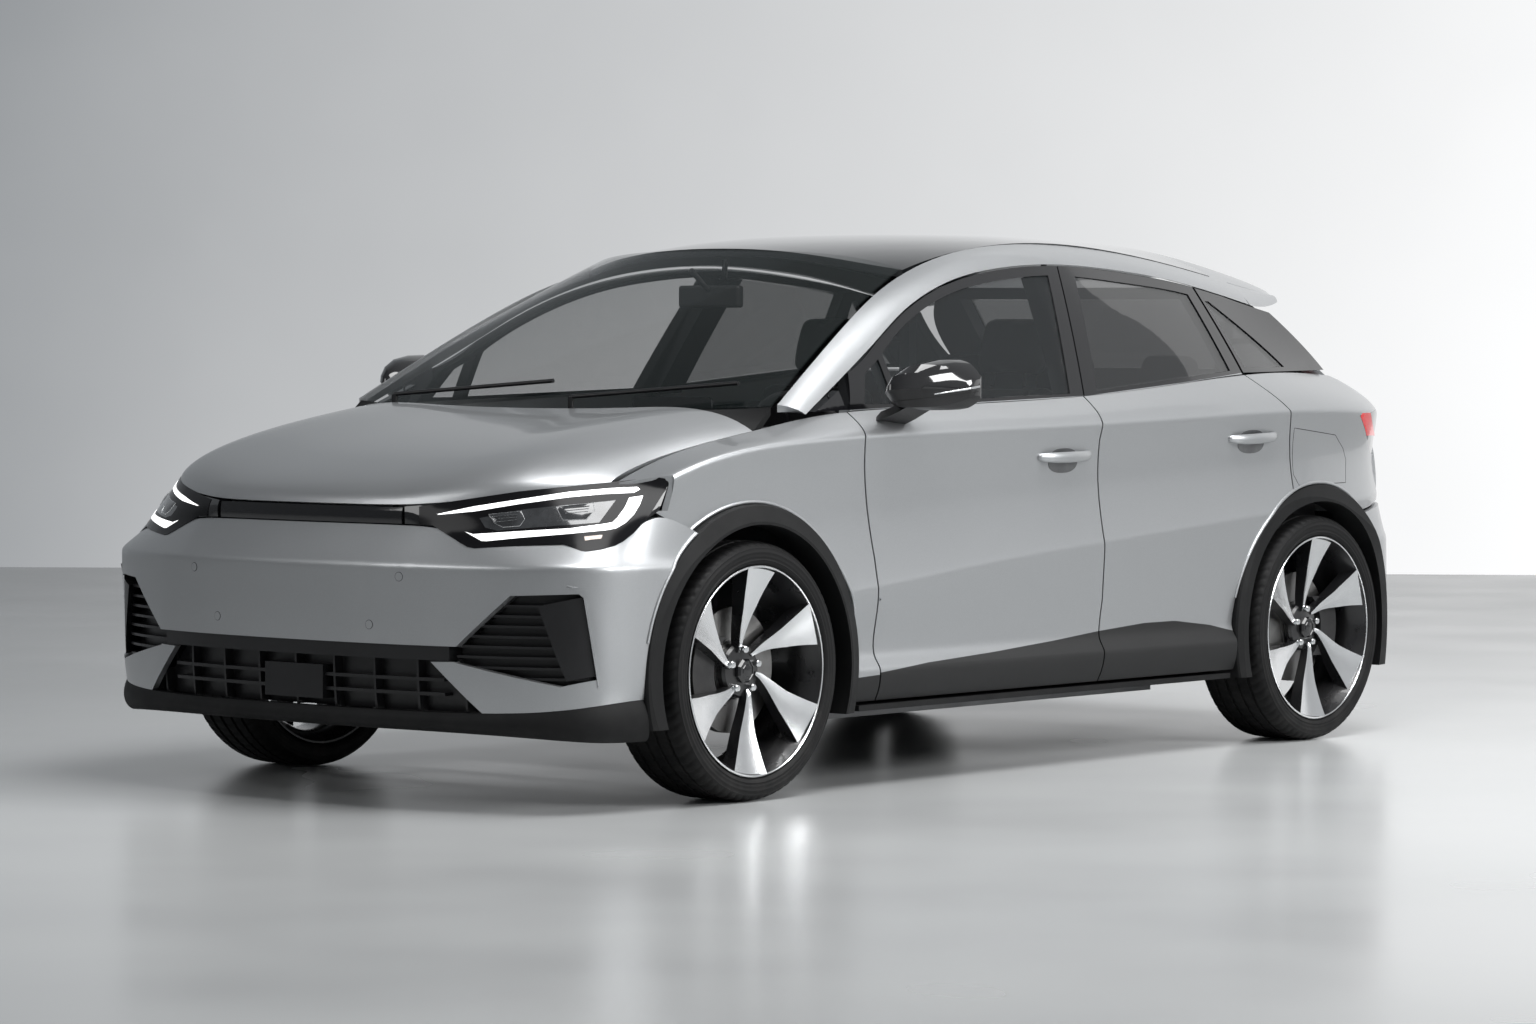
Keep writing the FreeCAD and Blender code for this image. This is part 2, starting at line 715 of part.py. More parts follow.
def make_front_grilles():
    """Slats in the two side intakes and bars in the lower grille, on backing panels."""
    slats = []
    layer = front_layer(BUMPER_WALL + SEAT, 50)
    back = front_layer(50, 58)
    intake_area = front_cutter(grown(INTAKE, 4), -900, -545)
    for i in range(8):
        low = 352 + i * 27
        slats.append(Part.makeBox(600, 600, 7, Vector(along(-480), 400, low)))
    slat_set = layer.common(intake_area).common(Part.makeCompound(slats))
    left = back.common(front_cutter(grown(INTAKE, 8), -900, -530)).fuse(slat_set.Solids)
    left = left.fuse(front_layer(5, 50).common(front_cutter(INTAKE_FIN, -900, -545)))
    bars = [Part.makeBox(400, 1000, 9, Vector(along(-600), -500, height)) for height in (304, 342)]
    bars += [Part.makeBox(400, 7, 180, Vector(along(-600), side - 3.5, 250)) for side in range(-560, 561, 140)]
    grille_area = front_cutter(GRILLE_BARS, -900, -600)
    middle = layer.common(grille_area).common(bars[0].fuse(bars[1:]))
    panel = box(along(-770), along(-828), -108, 108, 281, 371)
    band = front_layer(5, 50).common(front_cutter(GRILLE_BAND, -900, -600))
    middle = back.common(front_cutter(GRILLE_BACK, -900, -600)).fuse(middle.Solids + band.Solids + [panel])
    node("front_grilles", Part.makeCompound(left.Solids + mirrored(left).Solids + middle.Solids))


def make_nose_bar():
    rows = []
    for height, pull in ((749.5, 0), (771, -4), (792.5, 3)):
        rows.append([place(b + pull, s * 0.985, height) for b, s, h in BUMPER_TOP[:3]])
    rows = across_rows(rows)
    bar = thick_patch(rows, moved(rows, Vector(-24, 0, 0)))
    lug = rod(Vector(UPPER_BEAM + SEAT, 120, 771), Vector(along(-770), 120, 771), 7)
    node("nose_bar", bar.fuse([lug, mirrored(lug)]))


def make_headlamps():
    bottom = [place(b, s, h + 4) for b, s, h in BUMPER_TOP[2:10]]
    top = [place(b, s, h - 1) for b, s, h in LAMP_TOP]
    bottom[0] = place(-768, 349, 750)
    middle = [(a + b) / 2 for a, b in zip(bottom, top)]
    inner = []
    count = len(top) - 1
    for row in (bottom, middle, top):
        inner.append([p + Vector(-40 + 30 * i / count, -8 - 28 * i / count, 0) for i, p in enumerate(row)])
    middle = [p + Vector(6, 5, 0) for p in middle]
    lug = rod(Vector(UPPER_BEAM + SEAT, 400, 774), Vector(along(-740), 400, 774), 7)
    lamp = thick_patch([bottom, middle, top], inner)
    wing = shape_of("front_wings")
    for shift in (Vector(1, 0, 0), Vector(0, 1, 0), Vector(0, 0, 1)):
        lamp = lamp.cut(wing.translated(shift * 0.5))
    node("headlamps", both_sides(lamp.fuse(lug)))


def make_front_wings():
    slab = side_slab(Vector(0, -SKIN, -SKIN * 0.6))
    rear = shifted(FRONT_SHUT, -GAP / 2)
    rear[-1] = (rear[-1][0], DOOR_LOW)
    points = [(-433, 1200), (-433, 800), (-384, 785), (-228, 724), (300, 500), (300, DOOR_LOW)] + rear[::-1]
    points += [(rear[0][0] - 60, belt_at(400) + 2), (330, 1030), (236, 1200)]
    wing = slab.common(side_polygon(points))
    wing = wing.cut(arch_cylinder(FRONT_AXLE, ARCH_OUTER + SEAT))
    lamp_side = [(-700, 1100), (-700, 600), (-443, 600), (-443, 790), (-325, 894), (-325, 1100)]
    wing = wing.cut(plan_cutter(straight_runs(lamp_side), 788, 1300))
    node("front_wings", both_sides(wing))


# Rear end.  Each row runs from the car's middle outward.

REAR_PLAN = ((3518, 0), (3512, 180), (3497, 360), (3470, 520), (3430, 650), (3380, 740), (3320, 806),
             (3240, 862), (3150, 896), (3050, 914), (2960, 923))
REAR_TOP = ((3428, 0, 727), (3424, 180, 727), (3412, 360, 727), (3392, 520, 727), (3365, 640, 727),
            (3335, 725, 727), (3296, 784, 727), (3226, 836, 721), (3150, 872, 712), (3060, 895, 703),
            (2975, 910, 694))
REAR_SECTIONS = ((300, 30), (340, 4), (420, 0), (500, 0), (600, 2), (622, 2), (634, 10))
REAR_SKIRT = ((228, 70), (240, 40), (280, 26), (300 - SEAT, 30))
TAILGATE_MIDDLE = ((735, 3425), (790, 3424), (850, 3420), (940, 3400), (1030, 3345), (1095, 3275),
                   (1150, 3215), (1250, 3085), (1350, 2960), (1410, 2890))
TAILGATE_EDGE = ((735, 3296, 780), (790, 3296, 781), (850, 3290, 781), (940, 3266, 779), (1030, 3203, 765),
                 (1095, 3127, 738), (1150, 3062, 712), (1250, 2905, 690), (1350, 2800, 640),
                 (1410, 2760, 560))
LAMP_OPENING = ((3012, 1008), (3330, 1032), (3330, 872), (3205, 884))
SPOILER_TIP = ((0, 3112), (200, 3106), (370, 3086), (480, 3056), (550, 3012), (592, 2960))


def make_rear_wings():
    slab = side_slab(Vector(0, -SKIN, -SKIN * 0.6))
    front = shifted(REAR_SHUT, GAP / 2)
    points = [(front[0][0], 1300)] + front + [(2650, 560), (2900, 560), (3040, 709), (3150, 719), (3226, 728),
                                              (3296, 735), (3310, 850), (3285, 940), (3222, 1030),
                                              (3146, 1095), (3080, 1150), (3080, 1300)]
    room = tailgate_room()
    wing = slab.common(side_polygon(points)).cut(room)
    lamp = side_polygon(LAMP_OPENING)
    wing = wing.cut(Part.makeCompound([arch_cylinder(REAR_AXLE, ARCH_OUTER + SEAT), lamp]))
    node("rear_wings", both_sides(wing))
    inner_slab = side_slab(Vector(0, -17, -4))
    lamps = inner_slab.common(side_polygon(inset_outline(LAMP_OPENING, SEAT))).common(side_polygon(points))
    node("tail_lamps", both_sides(lamps.cut(room)))


def make_rear_bumper():
    outer = bumper_rows(REAR_PLAN, REAR_TOP, REAR_SECTIONS, 0.6, 0, -1)
    inner = bumper_rows(REAR_PLAN, REAR_TOP, REAR_SECTIONS, 0.6, BUMPER_WALL, -1)
    arch = arch_cylinder(REAR_AXLE, ARCH_OUTER + SEAT)
    arches = Part.makeCompound([arch, mirrored(arch)])
    node("rear_bumper", thick_patch(outer, inner).cut(arches))
    rows = []
    for depth in (0, 24):
        rows.append(bumper_rows(REAR_PLAN, [(b, s, 300) for b, s in REAR_PLAN], REAR_SKIRT, 0.5, depth,
                                -1)[:len(REAR_SKIRT)])
    node("rear_skirt", thick_patch(rows[0], rows[1]).cut(arches))


def tailgate_rows(depth, wider=0):
    rows = []
    for (height, middle), (_, edge_back, edge_side) in zip(TAILGATE_MIDDLE, TAILGATE_EDGE):
        row = []
        for share in (0, 0.3, 0.55, 0.75, 0.9, 1):
            back = middle + (edge_back - middle) * share ** 2.4
            row.append(place(back - depth, (edge_side + wider - depth * 0.6) * share, height))
        rows.append(row)
    return across_rows(rows)


def tailgate_room():
    """The tailgate's space with the shut gap round it, which its neighbours keep out of."""
    return thick_patch(tailgate_rows(-40, GAP * 1.2), tailgate_rows(90, GAP * 1.2))


def rear_screen(shrink):
    """The tailgate's window, seen from behind."""
    return front_cutter([(-560 + shrink, 1150 + shrink), (560 - shrink, 1150 + shrink),
                         (500 - shrink, 1372 - shrink), (-500 + shrink, 1372 - shrink)], 2600, 3400)


def make_tailgate():
    wall = size("tailgate_wall")
    shell = thick_patch(tailgate_rows(0), tailgate_rows(wall))
    shell = shell.cut(rear_screen(0))
    top, under = [], []
    for share in (0, 0.3, 0.6, 0.9, 0.97, 1):
        row, low = [], []
        for side, tip in SPOILER_TIP:
            start = ROOF_END + GAP
            back = start + (tip - start) * share
            middle = 1554 - 86 * share ** 1.7
            edge = follow(rail_line(RAIL_UPPER[:-1] + EAR_UPPER, 2), back)
            height = edge + (middle - edge) * (1 - (side / 592) ** 2.6)
            row.append(place(back, side, height - 6 * max(share - 0.9, 0) * 10))
            low.append(place(back - 12 * share, side, height - 46 + 26 * share))
        top.append(row)
        under.append(low)
    spoiler = thick_patch(across_rows(top), across_rows(under))
    lower = [place(*p) for p in EAR_LOWER]
    upper = [place(*p) for p in EAR_UPPER]
    middle = [(a + b) / 2 + Vector(0, 12, 10) for a, b in zip(lower, upper)]
    inner = [[p + Vector(0, -20, 3) for p in lower], [p + Vector(0, -15, -15) for p in middle],
             [p + Vector(0, 0, -20) for p in upper]]
    ear = thick_patch([lower, middle, upper], inner)
    node("tailgate", shell.fuse([spoiler, ear, mirrored(ear)]))
    glass = thick_patch(tailgate_rows(6), tailgate_rows(6 + size("glass_wall"))).common(rear_screen(SEAT))
    node("tailgate_glass", glass)


def make_quarter_panels():
    """The gloss panels behind the rear doors and the fixed triangles ahead of the front doors."""
    slab = window_plane(FRAME_STATIONS, 2, 20, GAP)
    run = rail_run(2402, RAIL_END, GAP)
    edge = [(2788, 1330), (2899, 1250), (3054, 1150)]
    panel = slab.common(side_cutter([[(2459, belt_at(2459) + 4), run[0]], run, [run[-1], edge[0]], edge,
                                     [edge[-1], (2459, belt_at(2459) + 4)]]))
    light = [(2478, 1160), (2425, 1362), (2446, 1362), (2755, 1160)]
    panel = panel.cut(side_polygon(light)).cut(tailgate_room())
    small = slab.common(side_polygon([(345, belt_at(345) + 4), (474, belt_at(474) + 4), (474, 1098)]))
    start = place(440, 803, 1072)
    small = small.fuse(stud(start, Vector(0, 0, 1), shape_of("roof_rails"), 3))
    node("quarter_panels", both_sides(Part.makeCompound([panel, small])))
    glass = window_plane(FRAME_STATIONS, 6, size("glass_wall"), GAP)
    light = glass.common(side_polygon([(2478.5, 1160.4), (2425.8, 1361.6), (2445.7, 1361.6), (2753.7, 1160.4)]))
    node("quarter_glass", both_sides(light))


# How far out the arch rings may reach, seen from above.
ARCH_PLANS = (((-470, 914), (-400, 922), (-320, 926), (-200, 930), (480, 930)),
              ((2270, 930), (2800, 930), (2950, 929), (3040, 922), (3120, 909), (3215, 884)))
ARCH_DEPTH = 90


def make_cladding():
    """Rings round the wheel arches, held to the body's plan at the car's corners."""
    profile = [Vector(ARCH_RADIUS, HALF_WIDTH - ARCH_DEPTH, 0), Vector(ARCH_RADIUS, HALF_WIDTH, 0),
               Vector(ARCH_RADIUS + 8, HALF_WIDTH, 0), Vector(ARCH_OUTER - 4, HALF_WIDTH - 14, 0),
               Vector(ARCH_OUTER, HALF_WIDTH - 20, 0),
               Vector(ARCH_OUTER, HALF_WIDTH - ARCH_DEPTH, 0)]
    ring = Part.Face(closed_wire(straight_runs(profile))).revolve(Vector(0, 0, 0), Vector(0, 1, 0), 360)
    rings = []
    for axle, plan in zip((FRONT_AXLE, REAR_AXLE), ARCH_PLANS):
        whole = ring.copy()
        whole.translate(Vector(axle, 0, TYRE_RADIUS))
        (first, _), (last, _) = plan[0], plan[-1]
        room = plan_cutter([plan, [plan[-1], (last, 700)], [(last, 700), (first, 700)],
                            [(first, 700), plan[0]]], SILL, 900)
        rings.append(whole.common(room))
    node("arch_cladding", both_sides(Part.makeCompound(rings)))


# Wheels.  Drawn about their own axis, Z outward from the car.

def plane_of(body, role):
    return next(f for f in body.Origin.OriginFeatures if f.Role == role)


def drawn(body, name, role, corners, lift=0):
    """A closed sketch whose corners are bound to the sizes sheet by a pair of expressions each."""
    sketch = body.newObject("Sketcher::SketchObject", name)
    sketch.AttachmentSupport = (plane_of(body, role), "")
    sketch.MapMode = "FlatFace"
    sketch.AttachmentOffset = Placement(Vector(0, 0, lift), Rotation())
    count = len(corners)
    guess = [Vector(10.0 + i, 10.0 + i * i, 0) for i in range(count)]
    values = [(worked_out(x), worked_out(y)) for x, y in corners]
    guess = [Vector(x, y, 0) for x, y in values]
    for i in range(count):
        sketch.addGeometry(Part.LineSegment(guess[i], guess[(i + 1) % count]), False)
    for i in range(count):
        sketch.addConstraint(Sketcher.Constraint("Coincident", i, 2, (i + 1) % count, 1))
    for i, (x, y) in enumerate(corners):
        for kind, expression, value in (("DistanceX", x, values[i][0]), ("DistanceY", y, values[i][1])):
            index = sketch.addConstraint(Sketcher.Constraint(kind, -1, 1, i, 1, value))
            if "sizes." in expression:
                sketch.setExpression("Constraints[%d]" % index, expression)
    return sketch


def worked_out(expression):
    """The number that an expression on the sizes sheet stands for."""
    scratch.setExpression("Length", "abs(%s) + 1" % expression)
    scratch.setExpression("Width", "abs(%s + 10000)" % expression)
    doc.recompute()
    return scratch.Width.Value - 10000


def revolved(body, name, corners, subtract=False):
    """A turned form about the body's Z axis from corners (radius, height)."""
    sketch = drawn(body, name + "_profile", "XZ_Plane", corners)
    kind = "PartDesign::Groove" if subtract else "PartDesign::Revolution"
    feature = body.newObject(kind, name)
    feature.Profile = sketch
    feature.ReferenceAxis = (sketch, ["V_Axis"])
    feature.Angle = 360
    return feature


def padded(body, name, corners, low, length):
    sketch = drawn(body, name + "_outline", "XY_Plane", corners, low)
    feature = body.newObject("PartDesign::Pad", name)
    feature.Profile = sketch
    feature.Length = length
    return feature


def patterned(body, feature, count):
    pattern = body.newObject("PartDesign::PolarPattern", feature.Name + "_pattern")
    pattern.Originals = [feature]
    pattern.Axis = (plane_axis(body), "")
    pattern.Angle = 360
    pattern.Occurrences = int(count)
    body.Tip = pattern
    return pattern


def plane_axis(body):
    return plane_of(body, "Z_Axis")


def round_pad(body, name, radius, low, length, centre=(0, 0), cut=False):
    """A round boss, or a round pocket, from this height outward."""
    sketch = body.newObject("Sketcher::SketchObject", name + "_circle")
    sketch.AttachmentSupport = (plane_of(body, "XY_Plane"), "")
    sketch.MapMode = "FlatFace"
    sketch.AttachmentOffset = Placement(Vector(0, 0, low), Rotation())
    sketch.addGeometry(Part.Circle(Vector(centre[0], centre[1], 0), Vector(0, 0, 1), worked_out(radius)), False)
    index = sketch.addConstraint(Sketcher.Constraint("Radius", 0, worked_out(radius)))
    if "sizes." in radius:
        sketch.setExpression("Constraints[%d]" % index, radius)
    feature = body.newObject("PartDesign::Pocket" if cut else "PartDesign::Pad", name)
    feature.Profile = sketch
    feature.Length = length
    if cut:
        feature.Reversed = True
    return feature


scratch = doc.addObject("Part::Box", "reckoner")

RIM_PROFILE = (("sizes.rim_radius", "sizes.tyre_width / 2 - 6"), ("sizes.rim_radius - 12", "sizes.tyre_width / 2 - 5"),
               ("sizes.rim_radius - 20", "sizes.tyre_width / 2 - 14"), ("sizes.rim_radius - 30", "80"),
               ("sizes.rim_radius - 42", "40"), ("sizes.rim_radius - 42", "-60"), ("sizes.rim_radius - 28", "-90"),
               ("sizes.rim_radius - 20", "-sizes.tyre_width / 2 + 6"), ("sizes.rim_radius", "-sizes.tyre_width / 2 + 6"),
               ("sizes.rim_radius", "-sizes.tyre_width / 2 + 12"), ("sizes.rim_radius - 14", "-sizes.tyre_width / 2 + 18"),
               ("sizes.rim_radius - 20", "-84"), ("sizes.rim_radius - 34", "-56"), ("sizes.rim_radius - 34", "36"),
               ("sizes.rim_radius - 22", "76"), ("sizes.rim_radius - 12", "sizes.tyre_width / 2 - 16"),
               ("sizes.rim_radius", "sizes.tyre_width / 2 - 14"))
SPOKE_OUTLINE = (("40", "9"), ("100", "12"), ("sizes.rim_radius - 20", "24"), ("sizes.rim_radius - 20", "-60"),
                 ("sizes.rim_radius - 33", "-93"), ("190", "-50"), ("100", "-21"), ("40", "-13"))


def make_rim_form():
    """A cast rim with turbine spokes that widen towards the edge and dish in towards the hub."""
    body = doc.addObject("PartDesign::Body", "rim_form")
    revolved(body, "barrel", RIM_PROFILE)
    spoke = padded(body, "spoke", SPOKE_OUTLINE, 52, 60)
    patterned(body, spoke, size("spoke_count"))
    dish = revolved(body, "dish", (("5", "130"), ("5", "74"), ("62", "72"), ("sizes.rim_radius - 20", "sizes.tyre_width / 2 - 10"),
                                   ("sizes.rim_radius - 20", "130")), subtract=True)
    hub = round_pad(body, "hub", "sizes.hub_radius - 8", 30, 36)
    bolt = round_pad(body, "bolt_well", "9", 66, 12, (0, size("bolt_circle") / 2 - 8), cut=True)
    patterned(body, bolt, 5)
    doc.recompute()
    return body.Shape


TYRE_PROFILE = (("sizes.rim_radius + sizes.seat_gap", "sizes.tyre_width / 2 - 12"), ("sizes.rim_radius + 12", "sizes.tyre_width / 2 - 4"), ("sizes.rim_radius + 28", "sizes.tyre_width / 2"),
                ("sizes.tyre_radius - 24", "sizes.tyre_width / 2 - 1"), ("sizes.tyre_radius - 10", "sizes.tyre_width / 2 - 8"),
                ("sizes.tyre_radius - 2", "sizes.tyre_width / 2 - 24"), ("sizes.tyre_radius", "60"),
                ("sizes.tyre_radius", "-60"), ("sizes.tyre_radius - 2", "-sizes.tyre_width / 2 + 24"),
                ("sizes.tyre_radius - 10", "-sizes.tyre_width / 2 + 8"), ("sizes.tyre_radius - 24", "-sizes.tyre_width / 2 + 1"),
                ("sizes.rim_radius + 28", "-sizes.tyre_width / 2"), ("sizes.rim_radius + 12", "-sizes.tyre_width / 2 + 4"),
                ("sizes.rim_radius + sizes.seat_gap", "-sizes.tyre_width / 2 + 10"))


def make_tyre_form():
    body = doc.addObject("PartDesign::Body", "tyre_form")
    revolved(body, "carcass", TYRE_PROFILE)
    doc.recompute()
    return body.Shape


DISC_PROFILE = (("40", "29.7"), ("sizes.hub_radius + 8", "29.7"), ("sizes.hub_radius + 8", "22"),
                ("sizes.disc_radius", "22"), ("sizes.disc_radius", "22 - sizes.disc_wall"),
                ("sizes.hub_radius", "22 - sizes.disc_wall"), ("sizes.hub_radius", "20"), ("40", "20"))


def make_disc_form():
    body = doc.addObject("PartDesign::Body", "disc_form")
    revolved(body, "rotor", DISC_PROFILE)
    doc.recompute()
    return body.Shape


def standing(shape, axle):
    """A wheel piece set upright at the left end of an axle."""
    placed = shape.copy()
    placed.Placement = Placement(Vector(axle, WHEEL_PLANE, TYRE_RADIUS), Rotation(Vector(1, 0, 0), -90))
    return placed


def make_wheels():
    forms = (("tyre", make_tyre_form()), ("rim", make_rim_form()), ("brake_disc", make_disc_form()))
    for end, axle in (("front", FRONT_AXLE), ("rear", REAR_AXLE)):
        for name, shape in forms:
            pair("%s_%s" % (end, name), standing(shape, axle))


# Running gear.  Positions across the car are measured from the wheel's middle plane.

FLOOR = size("floor_height")
FLOOR_TOP = FLOOR + size("floor_wall")
TUNNEL = 455
BULKHEAD = along(412)
KINGPIN_LOW = Vector(FRONT_AXLE, WHEEL_PLANE - 24, 215)
KINGPIN_HIGH = Vector(FRONT_AXLE, WHEEL_PLANE - 108, 800)
KINGPIN_WAY = (KINGPIN_HIGH - KINGPIN_LOW).normalize()
DISC_INNER = 22 - size("disc_wall")


def caliper(axle, forward):
    """A brake caliper over the disc's edge, on the side of the wheel that faces forward or back."""
    radius = size("disc_radius")
    plane = WHEEL_PLANE
    outer = Part.makeCylinder(radius + 26, size("disc_wall") + 64, Vector(axle, plane + DISC_INNER - 36, TYRE_RADIUS),
                              Vector(0, 1, 0))
    outer = outer.cut(Part.makeCylinder(radius - 62, 400, Vector(axle, plane - 200, TYRE_RADIUS), Vector(0, 1, 0)))
    slot = Part.makeCylinder(radius + 8, size("disc_wall") + 12, Vector(axle, plane + DISC_INNER - 6, TYRE_RADIUS),
                             Vector(0, 1, 0))
    near, far = (axle + 40, axle + 400) if forward else (axle - 400, axle - 40)
    return outer.cut(slot).common(box(near, far, plane - 200, plane + 200, TYRE_RADIUS - 92, TYRE_RADIUS + 92))


def hub_carrier(axle):
    """The bearing housing inboard of the disc, with its flange 0.3 mm behind the disc's bell."""
    start = Vector(axle, WHEEL_PLANE - 96, TYRE_RADIUS)
    housing = rod(start, Vector(axle, WHEEL_PLANE + DISC_INNER - 8, TYRE_RADIUS), 56)
    flange = rod(Vector(axle, WHEEL_PLANE - 60, TYRE_RADIUS), Vector(axle, WHEEL_PLANE + 20 - SEAT, TYRE_RADIUS), 48)
    return housing.fuse(flange)


def make_front_knuckles():
    """The steered carriers, each with its caliper and its strut up to the tower."""
    plane = WHEEL_PLANE
    carrier = hub_carrier(FRONT_AXLE)
    ball = rod(Vector(FRONT_AXLE, plane - 52, TYRE_RADIUS - 20), KINGPIN_LOW + KINGPIN_WAY * 30, 12)
    foot = rod(KINGPIN_LOW + KINGPIN_WAY * 46, KINGPIN_LOW + KINGPIN_WAY * 16, 14.5)
    arm = rod(Vector(FRONT_AXLE, plane - 76, TYRE_RADIUS + 10), Vector(FRONT_AXLE, plane - 153, 440), 20)
    strut = rod(Vector(FRONT_AXLE, plane - 153, 416), Vector(FRONT_AXLE, plane - 141, 742), 22)
    top = rod(Vector(FRONT_AXLE, plane - 142, 728), KINGPIN_HIGH - KINGPIN_WAY * 36, 12)
    pin = rod(KINGPIN_HIGH - KINGPIN_WAY * 54, KINGPIN_HIGH - KINGPIN_WAY * (26 + SEAT), 15)
    bridge = box(FRONT_AXLE + 20, FRONT_AXLE + 120, plane - 92, plane + DISC_INNER - 12, TYRE_RADIUS - 40, TYRE_RADIUS + 40)
    knuckle = carrier.fuse([ball, foot, arm, strut, top, pin, bridge, caliper(FRONT_AXLE, True)])
    pair("front_knuckle", knuckle)


def make_front_subframe():
    """Cross member with the lower arms, the steering rack and the strut towers' caps."""
    inner = 330
    frame = box(FRONT_AXLE - 190, FRONT_AXLE + 120, -inner, inner, 190, 236)
    frame = frame.cut(box(FRONT_AXLE - 120, FRONT_AXLE + 50, -inner + 90, inner - 90, 180, 250))
    ball = KINGPIN_LOW - KINGPIN_WAY * 16
    arms = []
    for back in (-150, 80):
        arm = rod(Vector(FRONT_AXLE + back, inner - 20, 212), ball + Vector(0, 0, 8), 12)
        arms += [arm, mirrored(arm)]
    seat = rod(ball - KINGPIN_WAY * 8, KINGPIN_LOW + KINGPIN_WAY * (16 - SEAT), 14)
    arms += [seat, mirrored(seat)]
    rack = rod(Vector(FRONT_AXLE - 150, -280, 262), Vector(FRONT_AXLE - 150, 280, 262), 27)
    outrigger = box(FRONT_AXLE - 190, FRONT_AXLE - 150, inner - 40, 420, 190, 236)
    tower = box(FRONT_AXLE - 190, FRONT_AXLE - 150, 372, 420, 200, 400 - SEAT)
    arms += [outrigger, tower, mirrored(outrigger), mirrored(tower)]
    node("front_subframe", frame.fuse(arms + [rack]))


def make_rear_axle():
    """Cross beam, trailing arms, hub carriers, springs and calipers of the rear wheels."""
    plane = WHEEL_PLANE
    beam = box(REAR_AXLE - 40, REAR_AXLE + 60, -(plane - 92), plane - 92, 212, 262)
    pieces = []
    carrier = hub_carrier(REAR_AXLE)
    post = box(REAR_AXLE - 36, REAR_AXLE + 36, plane - 96, plane - 60, 225, TYRE_RADIUS)
    arm = rod(Vector(REAR_AXLE + 20, plane - 250, 262), Vector(along(2240) - 6, plane - 250, FLOOR - 24 - SEAT), 24)
    bridge = box(REAR_AXLE - 120, REAR_AXLE - 20, plane - 92, plane + DISC_INNER - 12, TYRE_RADIUS - 40, TYRE_RADIUS + 40)
    spring = rod(Vector(REAR_AXLE, plane - 250, 255), Vector(REAR_AXLE, plane - 250, 470 - SEAT), 50)
    for piece in (carrier, post, arm, bridge, spring, caliper(REAR_AXLE, False)):
        pieces += [piece, mirrored(piece)]
    node("rear_axle", beam.fuse(pieces))


# Structure

